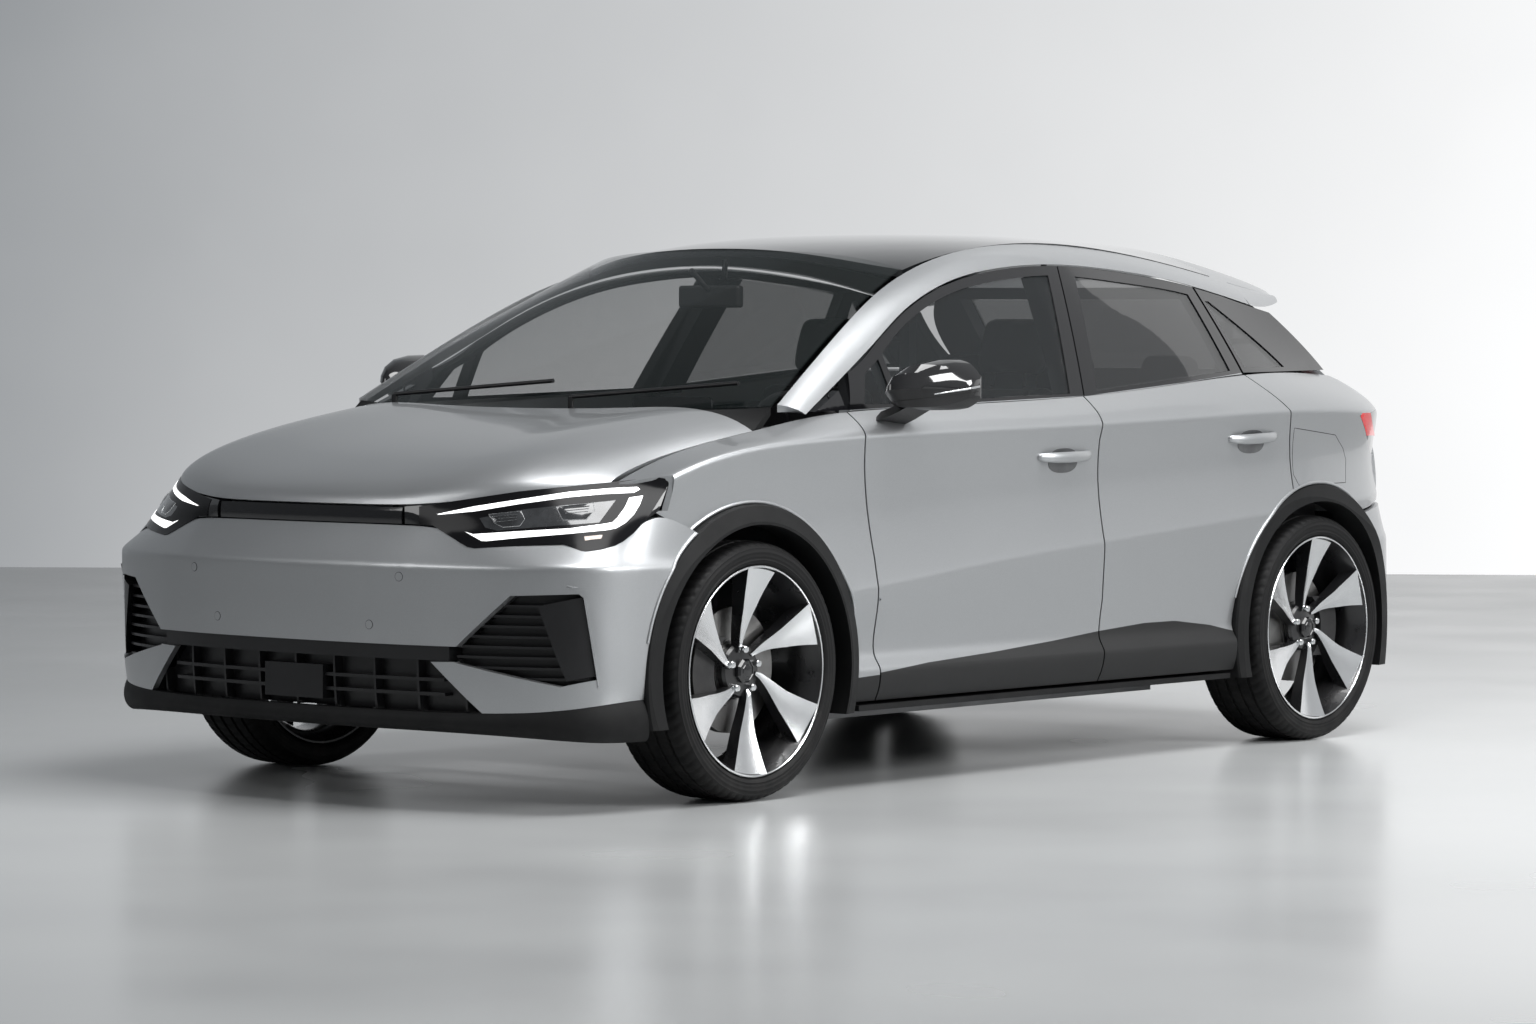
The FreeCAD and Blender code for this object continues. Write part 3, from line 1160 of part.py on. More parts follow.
def make_structure():
    """Floor, sills, front bay, rear body and the pillars between the doors."""
    x_rear = along(2300)
    node("floor", box(x_rear, BULKHEAD, -700, 700, FLOOR, FLOOR_TOP))
    sill = box(along(2296), along(470), 700 + SEAT, INNER_PLANE - SEAT, SILL + 4, SILL_TOP)
    strip = box(along(2296), along(470), INNER_PLANE - 20, HALF_WIDTH - 34, SILL, DOOR_LOW - GAP - 4)
    node("sills", both_sides(sill.fuse(strip)))
    battery = box(along(2240), along(500), -640, 640, FLOOR - size("battery_height"), FLOOR - SEAT)
    node("battery_case", battery)
    bay_front = FRONT_AXLE + 640
    bulkhead = box(BULKHEAD + SEAT, BULKHEAD + 26, -780, 780, FLOOR, 900)
    wall = box(BULKHEAD + 20, bay_front, TUNNEL - 12, TUNNEL, 380, 700)
    upper = box(BULKHEAD + 20, FRONT_AXLE + 420, TUNNEL - 12, TUNNEL, 690, 830)
    top = box(BULKHEAD + 20, FRONT_AXLE + 420, TUNNEL - 12, HALF_WIDTH - 190, 815, 830)
    tower = box(FRONT_AXLE - 90, FRONT_AXLE + 90, TUNNEL - 12, HALF_WIDTH - 200, KINGPIN_HIGH.z - 20, 820)
    rail = box(BULKHEAD + 20, bay_front + 60, TUNNEL - 90, TUNNEL - 12, 400, 500)
    boss = rod(KINGPIN_HIGH - KINGPIN_WAY * 26, KINGPIN_HIGH - KINGPIN_WAY * 6, 19)
    side = [wall, upper, top, tower, rail, boss]
    side += [box(UPPER_BEAM - 45, UPPER_BEAM, 370, 430, 510, 700)]
    bumper = shape_of("front_bumper")
    wing = shape_of("front_wings")
    side += [stud(Vector(bay_front + 50, 300, 560 - 70), Vector(1, 0, 0), bumper, 24)]
    side += [stud(Vector(x, 700, BAY_TOP - 8), Vector(0, 1, 0), wing, 6) for x in (along(-300), along(260))]
    side += [stud(Vector(UPPER_BEAM - 22, 220, 780), Vector(0, 0, 1), shape_of("bonnet"), 8)]
    beams = [box(bay_front, bay_front + 60, -600, 600, 400, 520),
             box(UPPER_BEAM - 45, UPPER_BEAM, -430, 430, 690, 790)]
    node("front_structure", bulkhead.fuse(side + [mirrored(piece) for piece in side] + beams))
    pan_rear = x_rear - 220
    riser = box(x_rear - 30, x_rear - SEAT, -690, 690, FLOOR, PAN_TOP)
    pan = box(pan_rear, x_rear - SEAT, -HOUSE_SIDE, HOUSE_SIDE, PAN_TOP - 30, PAN_TOP)
    step = box(pan_rear - 30, pan_rear, -HOUSE_SIDE, HOUSE_SIDE, PAN_TOP - 30, 500)
    boot = box(along(3340), pan_rear, -HOUSE_SIDE, HOUSE_SIDE, 470, 500)
    house = box(along(3150), x_rear - 30, HOUSE_SIDE - 12, HOUSE_SIDE, 350, 815)
    shelf = box(along(3150), x_rear - 30, HOUSE_SIDE - 12, 740, 804, 818)
    panel = box(along(3340), along(3310), -690, 690, 440, 690)
    latch = box(along(3340), along(3310), -60, 60, 680, 775)
    striker = stud(Vector(along(3330), 0, 760), Vector(-1, 0, 0), shape_of("tailgate"), 9)
    post = box(along(2670), along(2630), HOUSE_SIDE - 40, HOUSE_SIDE, 790, 1300)
    side = [house, shelf, post]
    side += [stud(Vector(along(3320), 400, 560), Vector(-1, 0, 0), shape_of("rear_bumper"), 20)]
    wing = shape_of("rear_wings")
    side += [stud(Vector(x, 700, 811), Vector(0, 1, 0), wing, 5) for x in (along(2700), along(3080))]
    side += [stud(Vector(along(2650), HOUSE_SIDE - 10, 1240), Vector(0, 1, 0), shape_of("quarter_panels"), 9)]
    side += [stud(Vector(along(2650), HOUSE_SIDE - 12, 1280), Vector(0, 0, 1), shape_of("roof_rails"), 9)]
    fixed = [riser, pan, step, boot, panel, latch, striker]
    node("rear_structure", fixed[0].fuse(fixed[1:] + side + [mirrored(piece) for piece in side]))
    node("drive_unit", box(REAR_AXLE - 200, REAR_AXLE + 190, -300, 300, 268, 470 - SEAT))
    lower = side_polygon([(1516, SILL_TOP + SEAT), (1500, 1010), (1660, 1010), (1672, SILL_TOP + SEAT)], INNER_PLANE - 90,
                         INNER_PLANE - SEAT)
    behind_frame = 2 + size("frame_wall") * 1.14 + 0.5
    post = window_plane(FRAME_STATIONS, behind_frame, 40, 30)
    post = post.common(side_polygon([(1528, 960), (1648, 960), (1760, 1500), (1650, 1500)]))
    tip = stud(Vector(along(1700), across(618), upward(1405)), Vector(0, 0, 1), shape_of("roof_rails"), 9)
    node("centre_pillars", both_sides(lower.fuse([post, tip])))


PAN_TOP = FLOOR_TOP + 44
SILL_TOP = FLOOR_TOP + 24
HOUSE_SIDE = 644


# Cabin

def soft_block(x0, x1, y0, y1, z0, z1, edge):
    block = box(x0, x1, y0, y1, z0, z1)
    return block.makeFillet(edge, block.Edges)


def chair(x, y):
    """A front seat: cushion, raked back and head rest."""
    cushion = soft_block(x - 260, x + 260, y - 250, y + 250, FLOOR_TOP + 120, FLOOR_TOP + 270, 45)
    base = box(x - 200, x + 200, y - 190, y + 190, FLOOR_TOP + SEAT, FLOOR_TOP + 140)
    back = soft_block(-60, 60, y - 240, y + 240, 0, 620, 42)
    back.rotate(Vector(0, 0, 0), Vector(0, 1, 0), -20)
    back.translate(Vector(x - 240, 0, FLOOR_TOP + 190))
    head = soft_block(-45, 45, y - 130, y + 130, 0, 190, 40)
    head.rotate(Vector(0, 0, 0), Vector(0, 1, 0), -16)
    head.translate(Vector(x - 462, 0, FLOOR_TOP + 790))
    down = Vector(math.sin(math.radians(20)), 0, -math.cos(math.radians(20)))
    posts = [stud(Vector(x - 475, y + off, FLOOR_TOP + 850), down, back, 6) for off in (-60, 60)]
    return Part.makeCompound([cushion.fuse([base, back]), head.fuse(posts)])


def make_cabin():
    left = chair(along(1420), 360)
    node("front_seats", both_sides(left))
    x = along(2230)
    bench = soft_block(x - 250, x + 250, -600, 600, PAN_TOP + SEAT, FLOOR_TOP + 240, 50)
    foot = box(x - 60, x + 200, -560, 560, FLOOR_TOP + SEAT, FLOOR_TOP + 80)
    back = soft_block(-60, 60, -600, 600, 0, 560, 45)
    back.rotate(Vector(0, 0, 0), Vector(0, 1, 0), -22)
    back.translate(Vector(x - 210, 0, FLOOR_TOP + 190))
    down = Vector(math.sin(math.radians(22)), 0, -math.cos(math.radians(22)))
    pieces = [bench.fuse([foot, back])]
    for side in (-400, 0, 400):
        head = soft_block(-40, 40, side - 110, side + 110, 0, 150, 36)
        head.rotate(Vector(0, 0, 0), Vector(0, 1, 0), -18)
        head.translate(Vector(x - 416, 0, FLOOR_TOP + 718))
        posts = [stud(Vector(x - 430, side + off, FLOOR_TOP + 770), down, back, 6) for off in (-50, 50)]
        pieces.append(head.fuse(posts))
    node("rear_bench", Part.makeCompound(pieces))
    profile = ((0, 900), (0, 985), (150, 992), (280, 960), (330, 900), (310, 800), (230, 720), (150, 560), (0, 560))
    points = [Vector(BULKHEAD - back, -690, height) for back, height in profile]
    dash = prism(straight_runs(points), Vector(0, 1380, 0))
    radius = size("steering_wheel_radius")
    tilt = 22
    hub = Vector(BULKHEAD - 480, 360, 905)
    ring = Part.makeTorus(radius, 15, Vector(0, 0, 0), Vector(1, 0, 0))
    spokes = [box(-8, 8, -radius, radius, -16, 16), box(-8, 8, -16, 16, -radius, 0)]
    boss = Part.makeCylinder(62, 40, Vector(-20, 0, 0), Vector(1, 0, 0))
    column = Part.makeCylinder(24, 250, Vector(0, 0, 0), Vector(1, 0, 0))
    wheel = ring.fuse(spokes + [boss, column])
    wheel.rotate(Vector(0, 0, 0), Vector(0, 1, 0), tilt)
    wheel.translate(hub)
    node("steering_wheel", wheel)
    tunnel = Part.makeCylinder(24 + GAP, 250 + SEAT, Vector(0, 0, 0), Vector(1, 0, 0))
    tunnel.rotate(Vector(0, 0, 0), Vector(0, 1, 0), tilt)
    tunnel.translate(hub)
    node("dashboard", dash.cut(tunnel))


# The door mirror's rear rim as (back, side, low, high), from the door outward, with how far the shell
# reaches forward of it there.
MIRROR_RIM = ((700, 934, 1052, 1146, 172), (710, 962, 1047, 1172, 196), (734, 1004, 1045, 1186, 186),
              (764, 1046, 1052, 1176, 132), (788, 1076, 1082, 1134, 44))
MIRROR_SWELL = ((0, 0), (0.8, 0.05), (1, 0.4), (0.78, 0.86), (0, 1))
MIRROR_ARM = (((548, 1010), (640, 986), (676, 1004), (590, 1040)),
              ((600, 1050), (712, 1050), (716, 1078), (606, 1078)))


def mirror_head():
    """The mirror's shell, round in front and flat behind."""
    wires = []
    for back, side, low, high, reach in MIRROR_RIM:
        wires.append(closed_wire([[place(back - reach * forward, side, low + (high - low) * share)
                                   for forward, share in MIRROR_SWELL]]))
    return Part.makeLoft(wires, True)


def mirror_arm():
    wires = []
    for side, corners in zip((872, 975), MIRROR_ARM):
        wires.append(closed_wire(straight_runs([place(back, side, height) for back, height in corners])))
    return Part.makeLoft(wires, True)


def make_mirrors():
    """Door mirrors, the inside mirror and the wipers."""
    pair("door_mirror", mirror_head().fuse(mirror_arm()).cut(shape_of("front_door_left")))
    glass = soft_block(along(910), along(880), -115, 115, 1330, 1395, 9)
    stem = stud(Vector(along(896), 0, 1370), Vector(0.8, 0, 0.6), shape_of("windscreen"), 8)
    node("interior_mirror", glass.fuse(stem))
    wipers = []
    for side in (120, -560):
        pivot = Vector(along(144), side, 1075)
        arm = rod(pivot, Vector(along(250), side + 520, 1118), 6)
        wipers.append(arm.fuse(stud(pivot, Vector(0, 0, -1), shape_of("scuttle"), 9)))
    node("wipers", Part.makeCompound(wipers))


MAKERS = (make_doors, make_rails, make_windscreen, make_roof, make_bonnet, make_scuttle,
          make_front_bumper, make_front_grilles, make_nose_bar, make_front_wings, make_headlamps,
          make_rear_wings, make_rear_bumper, make_tailgate, make_quarter_panels, make_cladding,
          make_wheels, make_front_knuckles, make_front_subframe, make_rear_axle, make_structure,
          make_cabin, make_mirrors)
for make in MAKERS:
    make()
doc.recompute()
for item in doc.Objects:
    if "Invalid" in item.State or "Error" in item.State:
        raise RuntimeError("%s is in the state %s" % (item.Name, item.State))
for feature in NODES:
    if feature.Shape.isNull() or not feature.Shape.isValid() or not feature.Shape.Solids:
        raise RuntimeError("%s has no sound shape" % feature.Label)
os.makedirs("parts", exist_ok=True)
for feature in NODES:
    feature.Shape.exportStep("parts/%s.step" % feature.Label)
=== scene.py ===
"""Looks of a hatchback car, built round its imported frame.

Lengths are metres in the frame of the car: +X to the nose, +Y to its left side, +Z up.
"""
import math

import bmesh
import bpy
import numpy as np
from mathutils import Matrix, Vector
from mathutils.bvhtree import BVHTree
from mathutils.geometry import delaunay_2d_cdt

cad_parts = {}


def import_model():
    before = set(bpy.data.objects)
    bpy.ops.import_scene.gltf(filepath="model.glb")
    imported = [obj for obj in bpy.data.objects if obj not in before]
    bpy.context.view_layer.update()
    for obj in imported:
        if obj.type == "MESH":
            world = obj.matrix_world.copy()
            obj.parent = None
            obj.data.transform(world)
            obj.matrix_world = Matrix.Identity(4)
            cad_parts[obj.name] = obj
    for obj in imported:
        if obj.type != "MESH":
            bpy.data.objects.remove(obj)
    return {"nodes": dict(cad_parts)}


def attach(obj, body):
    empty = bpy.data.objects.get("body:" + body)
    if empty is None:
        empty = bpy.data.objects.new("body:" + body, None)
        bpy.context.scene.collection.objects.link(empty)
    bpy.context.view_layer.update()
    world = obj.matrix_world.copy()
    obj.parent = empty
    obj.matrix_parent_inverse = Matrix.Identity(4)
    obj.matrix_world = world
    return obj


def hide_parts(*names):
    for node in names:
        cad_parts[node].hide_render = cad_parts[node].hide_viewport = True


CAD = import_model()["nodes"]
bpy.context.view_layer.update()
FRONT_AXLE = 1.34
REAR_AXLE = -1.41
AXLES = (("front", FRONT_AXLE), ("rear", REAR_AXLE))
WHEEL_PLANE = 0.8075
AXLE_HEIGHT = 0.35
SIDES = (("left", 1), ("right", -1))

# The camera as the photograph was solved: its place, its angles, and its focal length in pixels.
CAMERA_PLACE = Vector((11.437, 9.211, 1.245))
YAW = math.radians(-140.72)
PITCH = math.radians(-2.05)
ROLL = math.radians(0.3)
FOCAL = 4889
PHOTO_SIZE = (1536, 1024)


def x_of(back):
    """X of a place this many millimetres behind the front axle."""
    return FRONT_AXLE - back / 1000


def line_places(table, lift=0.0):
    """Rows of (millimetres behind the front axle, millimetres high) as (x, z) places in metres."""
    return [(x_of(back), height / 1000 + lift) for back, height in table]


def camera_axes():
    """The camera's right, up and forward directions."""
    forward = Vector((math.cos(PITCH) * math.cos(YAW), math.cos(PITCH) * math.sin(YAW), math.sin(PITCH)))
    level = forward.cross(Vector((0, 0, 1))).normalized()
    upright = level.cross(forward)
    right = level * math.cos(ROLL) + upright * math.sin(ROLL)
    up = upright * math.cos(ROLL) - level * math.sin(ROLL)
    return right, up, forward


# Shader groups, each built once and placed in every material that needs it.


def put(tree, kind, **values):
    """A new node of a kind, with its settings."""
    item = tree.nodes.new("ShaderNode" + kind)
    for key, value in values.items():
        setattr(item, key, value)
    return item


def set_inputs(item, **values):
    """Sets a node's sockets by name; an underscore stands for a space."""
    for title, value in values.items():
        item.inputs[title.replace("_", " ")].default_value = value
    return item


def new_group(name, inputs, outputs):
    """An empty shader group with named sockets; gives its tree, its way in and its way out."""
    tree = bpy.data.node_groups.new(name, "ShaderNodeTree")
    for title, kind, value in inputs:
        socket = tree.interface.new_socket(title, in_out="INPUT", socket_type="NodeSocket" + kind)
        socket.default_value = value
    for title, kind in outputs:
        tree.interface.new_socket(title, in_out="OUTPUT", socket_type="NodeSocket" + kind)
    return tree, tree.nodes.new("NodeGroupInput"), tree.nodes.new("NodeGroupOutput")


def math_node(tree, kind, a, b=None):
    """Arithmetic on two values, each a number or a socket."""
    item = put(tree, "Math", operation=kind)
    for index, value in enumerate((a, b)):
        if isinstance(value, (int, float)):
            item.inputs[index].default_value = value
        elif value is not None:
            tree.links.new(value, item.inputs[index])
    return item.outputs[0]


def noise_node(tree, scale, detail=3.0, rough=0.5):
    """Noise over the surface; scale is a number or a socket."""
    item = put(tree, "TexNoise")
    set_inputs(item, Detail=detail, Roughness=rough)
    if isinstance(scale, (int, float)):
        item.inputs["Scale"].default_value = scale
    else:
        tree.links.new(scale, item.inputs["Scale"])
    tree.links.new(put(tree, "TexCoord").outputs["Object"], item.inputs["Vector"])
    return item.outputs["Fac"]


def ranged(tree, source, low, high, out_low, out_high):
    """Maps a range of one value to a range of another; the ends are numbers or sockets."""
    item = put(tree, "MapRange")
    for title, value in (("From Min", low), ("From Max", high), ("To Min", out_low), ("To Max", out_high)):
        if isinstance(value, (int, float)):
            item.inputs[title].default_value = value
        else:
            tree.links.new(value, item.inputs[title])
    tree.links.new(source, item.inputs["Value"])
    return item.outputs["Result"]


def scaled_colour(tree, colour, factor):
    """A colour times a number."""
    item = put(tree, "VectorMath", operation="SCALE")
    tree.links.new(colour, item.inputs[0])
    tree.links.new(factor, item.inputs["Scale"])
    return item.outputs[0]


def mixed(tree, factor, a, b):
    """One colour or another by a mask."""
    item = put(tree, "Mix", data_type="RGBA")
    for socket, value in ((item.inputs[0], factor), (item.inputs[6], a), (item.inputs[7], b)):
        if isinstance(value, (int, float)):
            socket.default_value = value
        elif isinstance(value, tuple):
            socket.default_value = (*value, 1)
        else:
            tree.links.new(value, socket)
    return item.outputs[2]


def make_tone_drift():
    """A colour that wanders a little lighter and darker."""
    inputs = (("Colour", "Color", (0.5, 0.5, 0.5, 1)), ("Spread", "Float", 0.1), ("Scale", "Float", 6))
    tree, way_in, way_out = new_group("tone_drift", inputs, (("Colour", "Color"),))
    low = math_node(tree, "SUBTRACT", 1, way_in.outputs["Spread"])
    high = math_node(tree, "ADD", 1, way_in.outputs["Spread"])
    factor = ranged(tree, noise_node(tree, way_in.outputs["Scale"]), 0.3, 0.7, low, high)
    tree.links.new(scaled_colour(tree, way_in.outputs["Colour"], factor), way_out.inputs["Colour"])
    return tree


def make_gloss_drift():
    """A roughness that wanders, as wiped and handled surfaces do."""
    inputs = (("Roughness", "Float", 0.5), ("Spread", "Float", 0.1), ("Scale", "Float", 9))
    tree, way_in, way_out = new_group("gloss_drift", inputs, (("Roughness", "Float"),))
    low = math_node(tree, "SUBTRACT", 1, way_in.outputs["Spread"])
    high = math_node(tree, "ADD", 1, way_in.outputs["Spread"])
    factor = ranged(tree, noise_node(tree, way_in.outputs["Scale"], 5), 0.3, 0.7, low, high)
    rough = math_node(tree, "MULTIPLY", way_in.outputs["Roughness"], factor)
    tree.links.new(rough, way_out.inputs["Roughness"])
    return tree


def make_metal_flake():
    """Fine bright and dark flakes in a metallic paint."""
    inputs = (("Colour", "Color", (0.5, 0.5, 0.5, 1)), ("Sparkle", "Float", 0.1), ("Scale", "Float", 1500))
    tree, way_in, way_out = new_group("metal_flake", inputs, (("Colour", "Color"),))
    cells = put(tree, "TexVoronoi")
    tree.links.new(way_in.outputs["Scale"], cells.inputs["Scale"])
    tree.links.new(put(tree, "TexCoord").outputs["Object"], cells.inputs["Vector"])
    low = math_node(tree, "SUBTRACT", 1, way_in.outputs["Sparkle"])
    high = math_node(tree, "ADD", 1, way_in.outputs["Sparkle"])
    factor = ranged(tree, cells.outputs["Color"], 0, 1, low, high)
    tree.links.new(scaled_colour(tree, way_in.outputs["Colour"], factor), way_out.inputs["Colour"])
    return tree


def make_moulded_grain():
    """The pebbled grain of moulded plastic, as a height."""
    tree, way_in, way_out = new_group("moulded_grain", (("Scale", "Float", 900),), (("Height", "Float"),))
    cells = put(tree, "TexVoronoi", feature="SMOOTH_F1")
    tree.links.new(way_in.outputs["Scale"], cells.inputs["Scale"])
    tree.links.new(put(tree, "TexCoord").outputs["Object"], cells.inputs["Vector"])
    fine = noise_node(tree, way_in.outputs["Scale"], 2)
    height = math_node(tree, "ADD", cells.outputs["Distance"], fine)
    tree.links.new(height, way_out.inputs["Height"])
    return tree


def make_road_dust():
    """Pale dust low down on what runs near the road."""
    inputs = (("Colour", "Color", (0.02, 0.02, 0.02, 1)), ("Dust", "Color", (0.16, 0.15, 0.14, 1)),
              ("Amount", "Float", 0.2), ("Top", "Float", 0.5))
    tree, way_in, way_out = new_group("road_dust", inputs, (("Colour", "Color"), ("Mask", "Float")))
    split = put(tree, "SeparateXYZ")
    tree.links.new(put(tree, "TexCoord").outputs["Object"], split.inputs[0])
    low_down = ranged(tree, split.outputs[2], way_in.outputs["Top"], 0, 0, 1)
    clouds = ranged(tree, noise_node(tree, 14, 6, 0.65), 0.42, 0.68, 0, 1)
    dusty = math_node(tree, "MULTIPLY", low_down, clouds)
    mask = math_node(tree, "MULTIPLY", dusty, way_in.outputs["Amount"])
    shade = mixed(tree, mask, way_in.outputs["Colour"], way_in.outputs["Dust"])
    tree.links.new(shade, way_out.inputs["Colour"])
    tree.links.new(mask, way_out.inputs["Mask"])
    return tree


def make_turned_rings():
    """Fine tool rings about a wheel's axis, as a height."""
    tree, way_in, way_out = new_group(
        "turned_rings", (("Centre", "Vector", (0, 0, 0)), ("Pitch", "Float", 0.0012)), (("Height", "Float"),))
    offset = put(tree, "VectorMath", operation="SUBTRACT")
    tree.links.new(put(tree, "TexCoord").outputs["Object"], offset.inputs[0])
    tree.links.new(way_in.outputs["Centre"], offset.inputs[1])
    flat = put(tree, "VectorMath", operation="MULTIPLY")
    flat.inputs[1].default_value = (1, 0, 1)
    tree.links.new(offset.outputs[0], flat.inputs[0])
    length = put(tree, "VectorMath", operation="LENGTH")
    tree.links.new(flat.outputs[0], length.inputs[0])
    turns = math_node(tree, "DIVIDE", length.outputs["Value"], way_in.outputs["Pitch"])
    wave = math_node(tree, "SINE", math_node(tree, "MULTIPLY", turns, 2 * math.pi))
    tree.links.new(wave, way_out.inputs["Height"])
    return tree


def make_cloth_weave():
    """Over and under threads of a woven cover: a height, and a mask of the raised ones."""
    tree, way_in, way_out = new_group(
        "cloth_weave", (("Scale", "Float", 900),), (("Height", "Float"), ("Mask", "Float")))
    split = put(tree, "SeparateXYZ")
    tree.links.new(put(tree, "TexCoord").outputs["Object"], split.inputs[0])
    waves = []
    for axis in range(3):
        turns = math_node(tree, "MULTIPLY", split.outputs[axis], way_in.outputs["Scale"])
        waves.append(math_node(tree, "SINE", turns))
    height = math_node(tree, "MULTIPLY", math_node(tree, "ADD", waves[0], waves[2]), waves[1])
    tree.links.new(height, way_out.inputs["Height"])
    tree.links.new(ranged(tree, height, -1, 1, 0, 1), way_out.inputs["Mask"])
    return tree


# The reach of a drawn line in x, its greatest height, and half the width of its soft edge.
LINE_REACH = (-2.3, 2.3)
LINE_TALLEST = 2
LINE_BLEND = 0.0004


def make_line_mask(name, points):
    """One above a line drawn through (x, z) points and nothing below it."""
    tree, _, way_out = new_group(name, (), (("Mask", "Float"),))
    low, high = LINE_REACH
    split = put(tree, "SeparateXYZ")
    tree.links.new(put(tree, "TexCoord").outputs["Object"], split.inputs[0])
    ramp = put(tree, "ValToRGB")
    elements = ramp.color_ramp.elements
    while len(elements) < len(points):
        elements.new(0.5)
    for element, (x, z) in zip(elements, sorted(points)):
        element.position = (x - low) / (high - low)
        level = z / LINE_TALLEST
        element.color = (level, level, level, 1)
    tree.links.new(ranged(tree, split.outputs[0], low, high, 0, 1), ramp.inputs["Fac"])
    line = math_node(tree, "MULTIPLY", ramp.outputs["Color"], LINE_TALLEST)
    over = math_node(tree, "SUBTRACT", split.outputs[2], line)
    tree.links.new(ranged(tree, over, -LINE_BLEND, LINE_BLEND, 0, 1), way_out.inputs["Mask"])
    return tree


# Lines on the panels, as millimetres behind the front axle and millimetres high: the foot of the side
# windows, the top of the doors' cladding, and the foot of the front wing's paint.
BELT = ((-430, 862), (-200, 938), (130, 990), (310, 1033), (520, 1042), (1190, 1062), (1610, 1074),
        (2100, 1110), (2450, 1139), (2860, 1142), (3300, 1120))
WEDGE = ((300, 300), (556, 320), (766, 337), (1094, 352), (1385, 370), (1610, 388), (1840, 402), (1997, 402),
         (2183, 382), (2319, 356), (2700, 300))
WING_FOOT = ((-500, 200), (300, 200), (330, 305), (700, 320))
BELT_LIFT = 0.004

TONE_DRIFT = make_tone_drift()
GLOSS_DRIFT = make_gloss_drift()
METAL_FLAKE = make_metal_flake()
MOULDED_GRAIN = make_moulded_grain()
ROAD_DUST = make_road_dust()
TURNED_RINGS = make_turned_rings()
CLOTH_WEAVE = make_cloth_weave()
BELT_MASK = make_line_mask("belt_mask", line_places(BELT, BELT_LIFT))
WEDGE_MASK = make_line_mask("wedge_mask", line_places(WEDGE))
FOOT_MASK = make_line_mask("wing_foot_mask", line_places(WING_FOOT))


# Materials


SILVER = (0.40, 0.41, 0.42)
GLOSS = (0.006, 0.006, 0.007)
CLAD = (0.005, 0.0052, 0.0056)
PAINT_ROUGH = 0.40
PAINT_METAL = 0.80
PAINT_COAT = 0.6
PAINT_FLAKE = (1500, 0.09)
CLAD_ROUGH = 0.62
GRAIN_DEPTH = 0.0004
RING_DEPTH = 0.0002
WEAVE_DEPTH = 0.0008


def place_group(tree, group, **values):
    """A shader group placed in a material, with its values."""
    item = tree.nodes.new("ShaderNodeGroup")
    item.node_tree = group
    return set_inputs(item, **values)


def new_material(name, colour, rough, metal=0.0, coat=0.0, spec=0.5, coat_rough=0.03):
    """A plain material; gives it, its tree and its main shader."""
    mat = bpy.data.materials.new(name)
    mat.use_nodes = True
    bsdf = mat.node_tree.nodes["Principled BSDF"]
    set_inputs(bsdf, Base_Color=(*colour, 1), Roughness=rough, Metallic=metal, Coat_Weight=coat,
               Coat_Roughness=coat_rough, Specular_IOR_Level=spec)
    return mat, mat.node_tree, bsdf


def relief(tree, bsdf, height, strength, distance):
    """A bump of the shading from a height."""
    item = put(tree, "Bump")
    set_inputs(item, Strength=strength, Distance=distance)
    tree.links.new(height, item.inputs["Height"])
    tree.links.new(item.outputs["Normal"], bsdf.inputs["Normal"])


def finish(name, colour, rough, metal=0.0, coat=0.0, spec=0.5, drift=(6, 0.08), gloss=(9, 0.1), grain=None,
           dust=None, flake=None):
    """A procedural finish: wandering tone and gloss, and if wanted a moulded grain, road dust or flakes."""
    mat, tree, bsdf = new_material(name, colour, rough, metal, coat, spec)
    tone = place_group(tree, TONE_DRIFT, Colour=(*colour, 1), Scale=drift[0], Spread=drift[1])
    shade = tone.outputs["Colour"]
    if flake:
        item = place_group(tree, METAL_FLAKE, Scale=flake[0], Sparkle=flake[1])
        tree.links.new(shade, item.inputs["Colour"])
        shade = item.outputs["Colour"]
    if dust:
        item = place_group(tree, ROAD_DUST, Amount=dust[0], Top=dust[1])
        tree.links.new(shade, item.inputs["Colour"])
        shade = item.outputs["Colour"]
    tree.links.new(shade, bsdf.inputs["Base Color"])
    item = place_group(tree, GLOSS_DRIFT, Roughness=rough, Scale=gloss[0], Spread=gloss[1])
    tree.links.new(item.outputs["Roughness"], bsdf.inputs["Roughness"])
    if grain:
        item = place_group(tree, MOULDED_GRAIN, Scale=grain[0])
        relief(tree, bsdf, item.outputs["Height"], grain[1], GRAIN_DEPTH)
    return mat


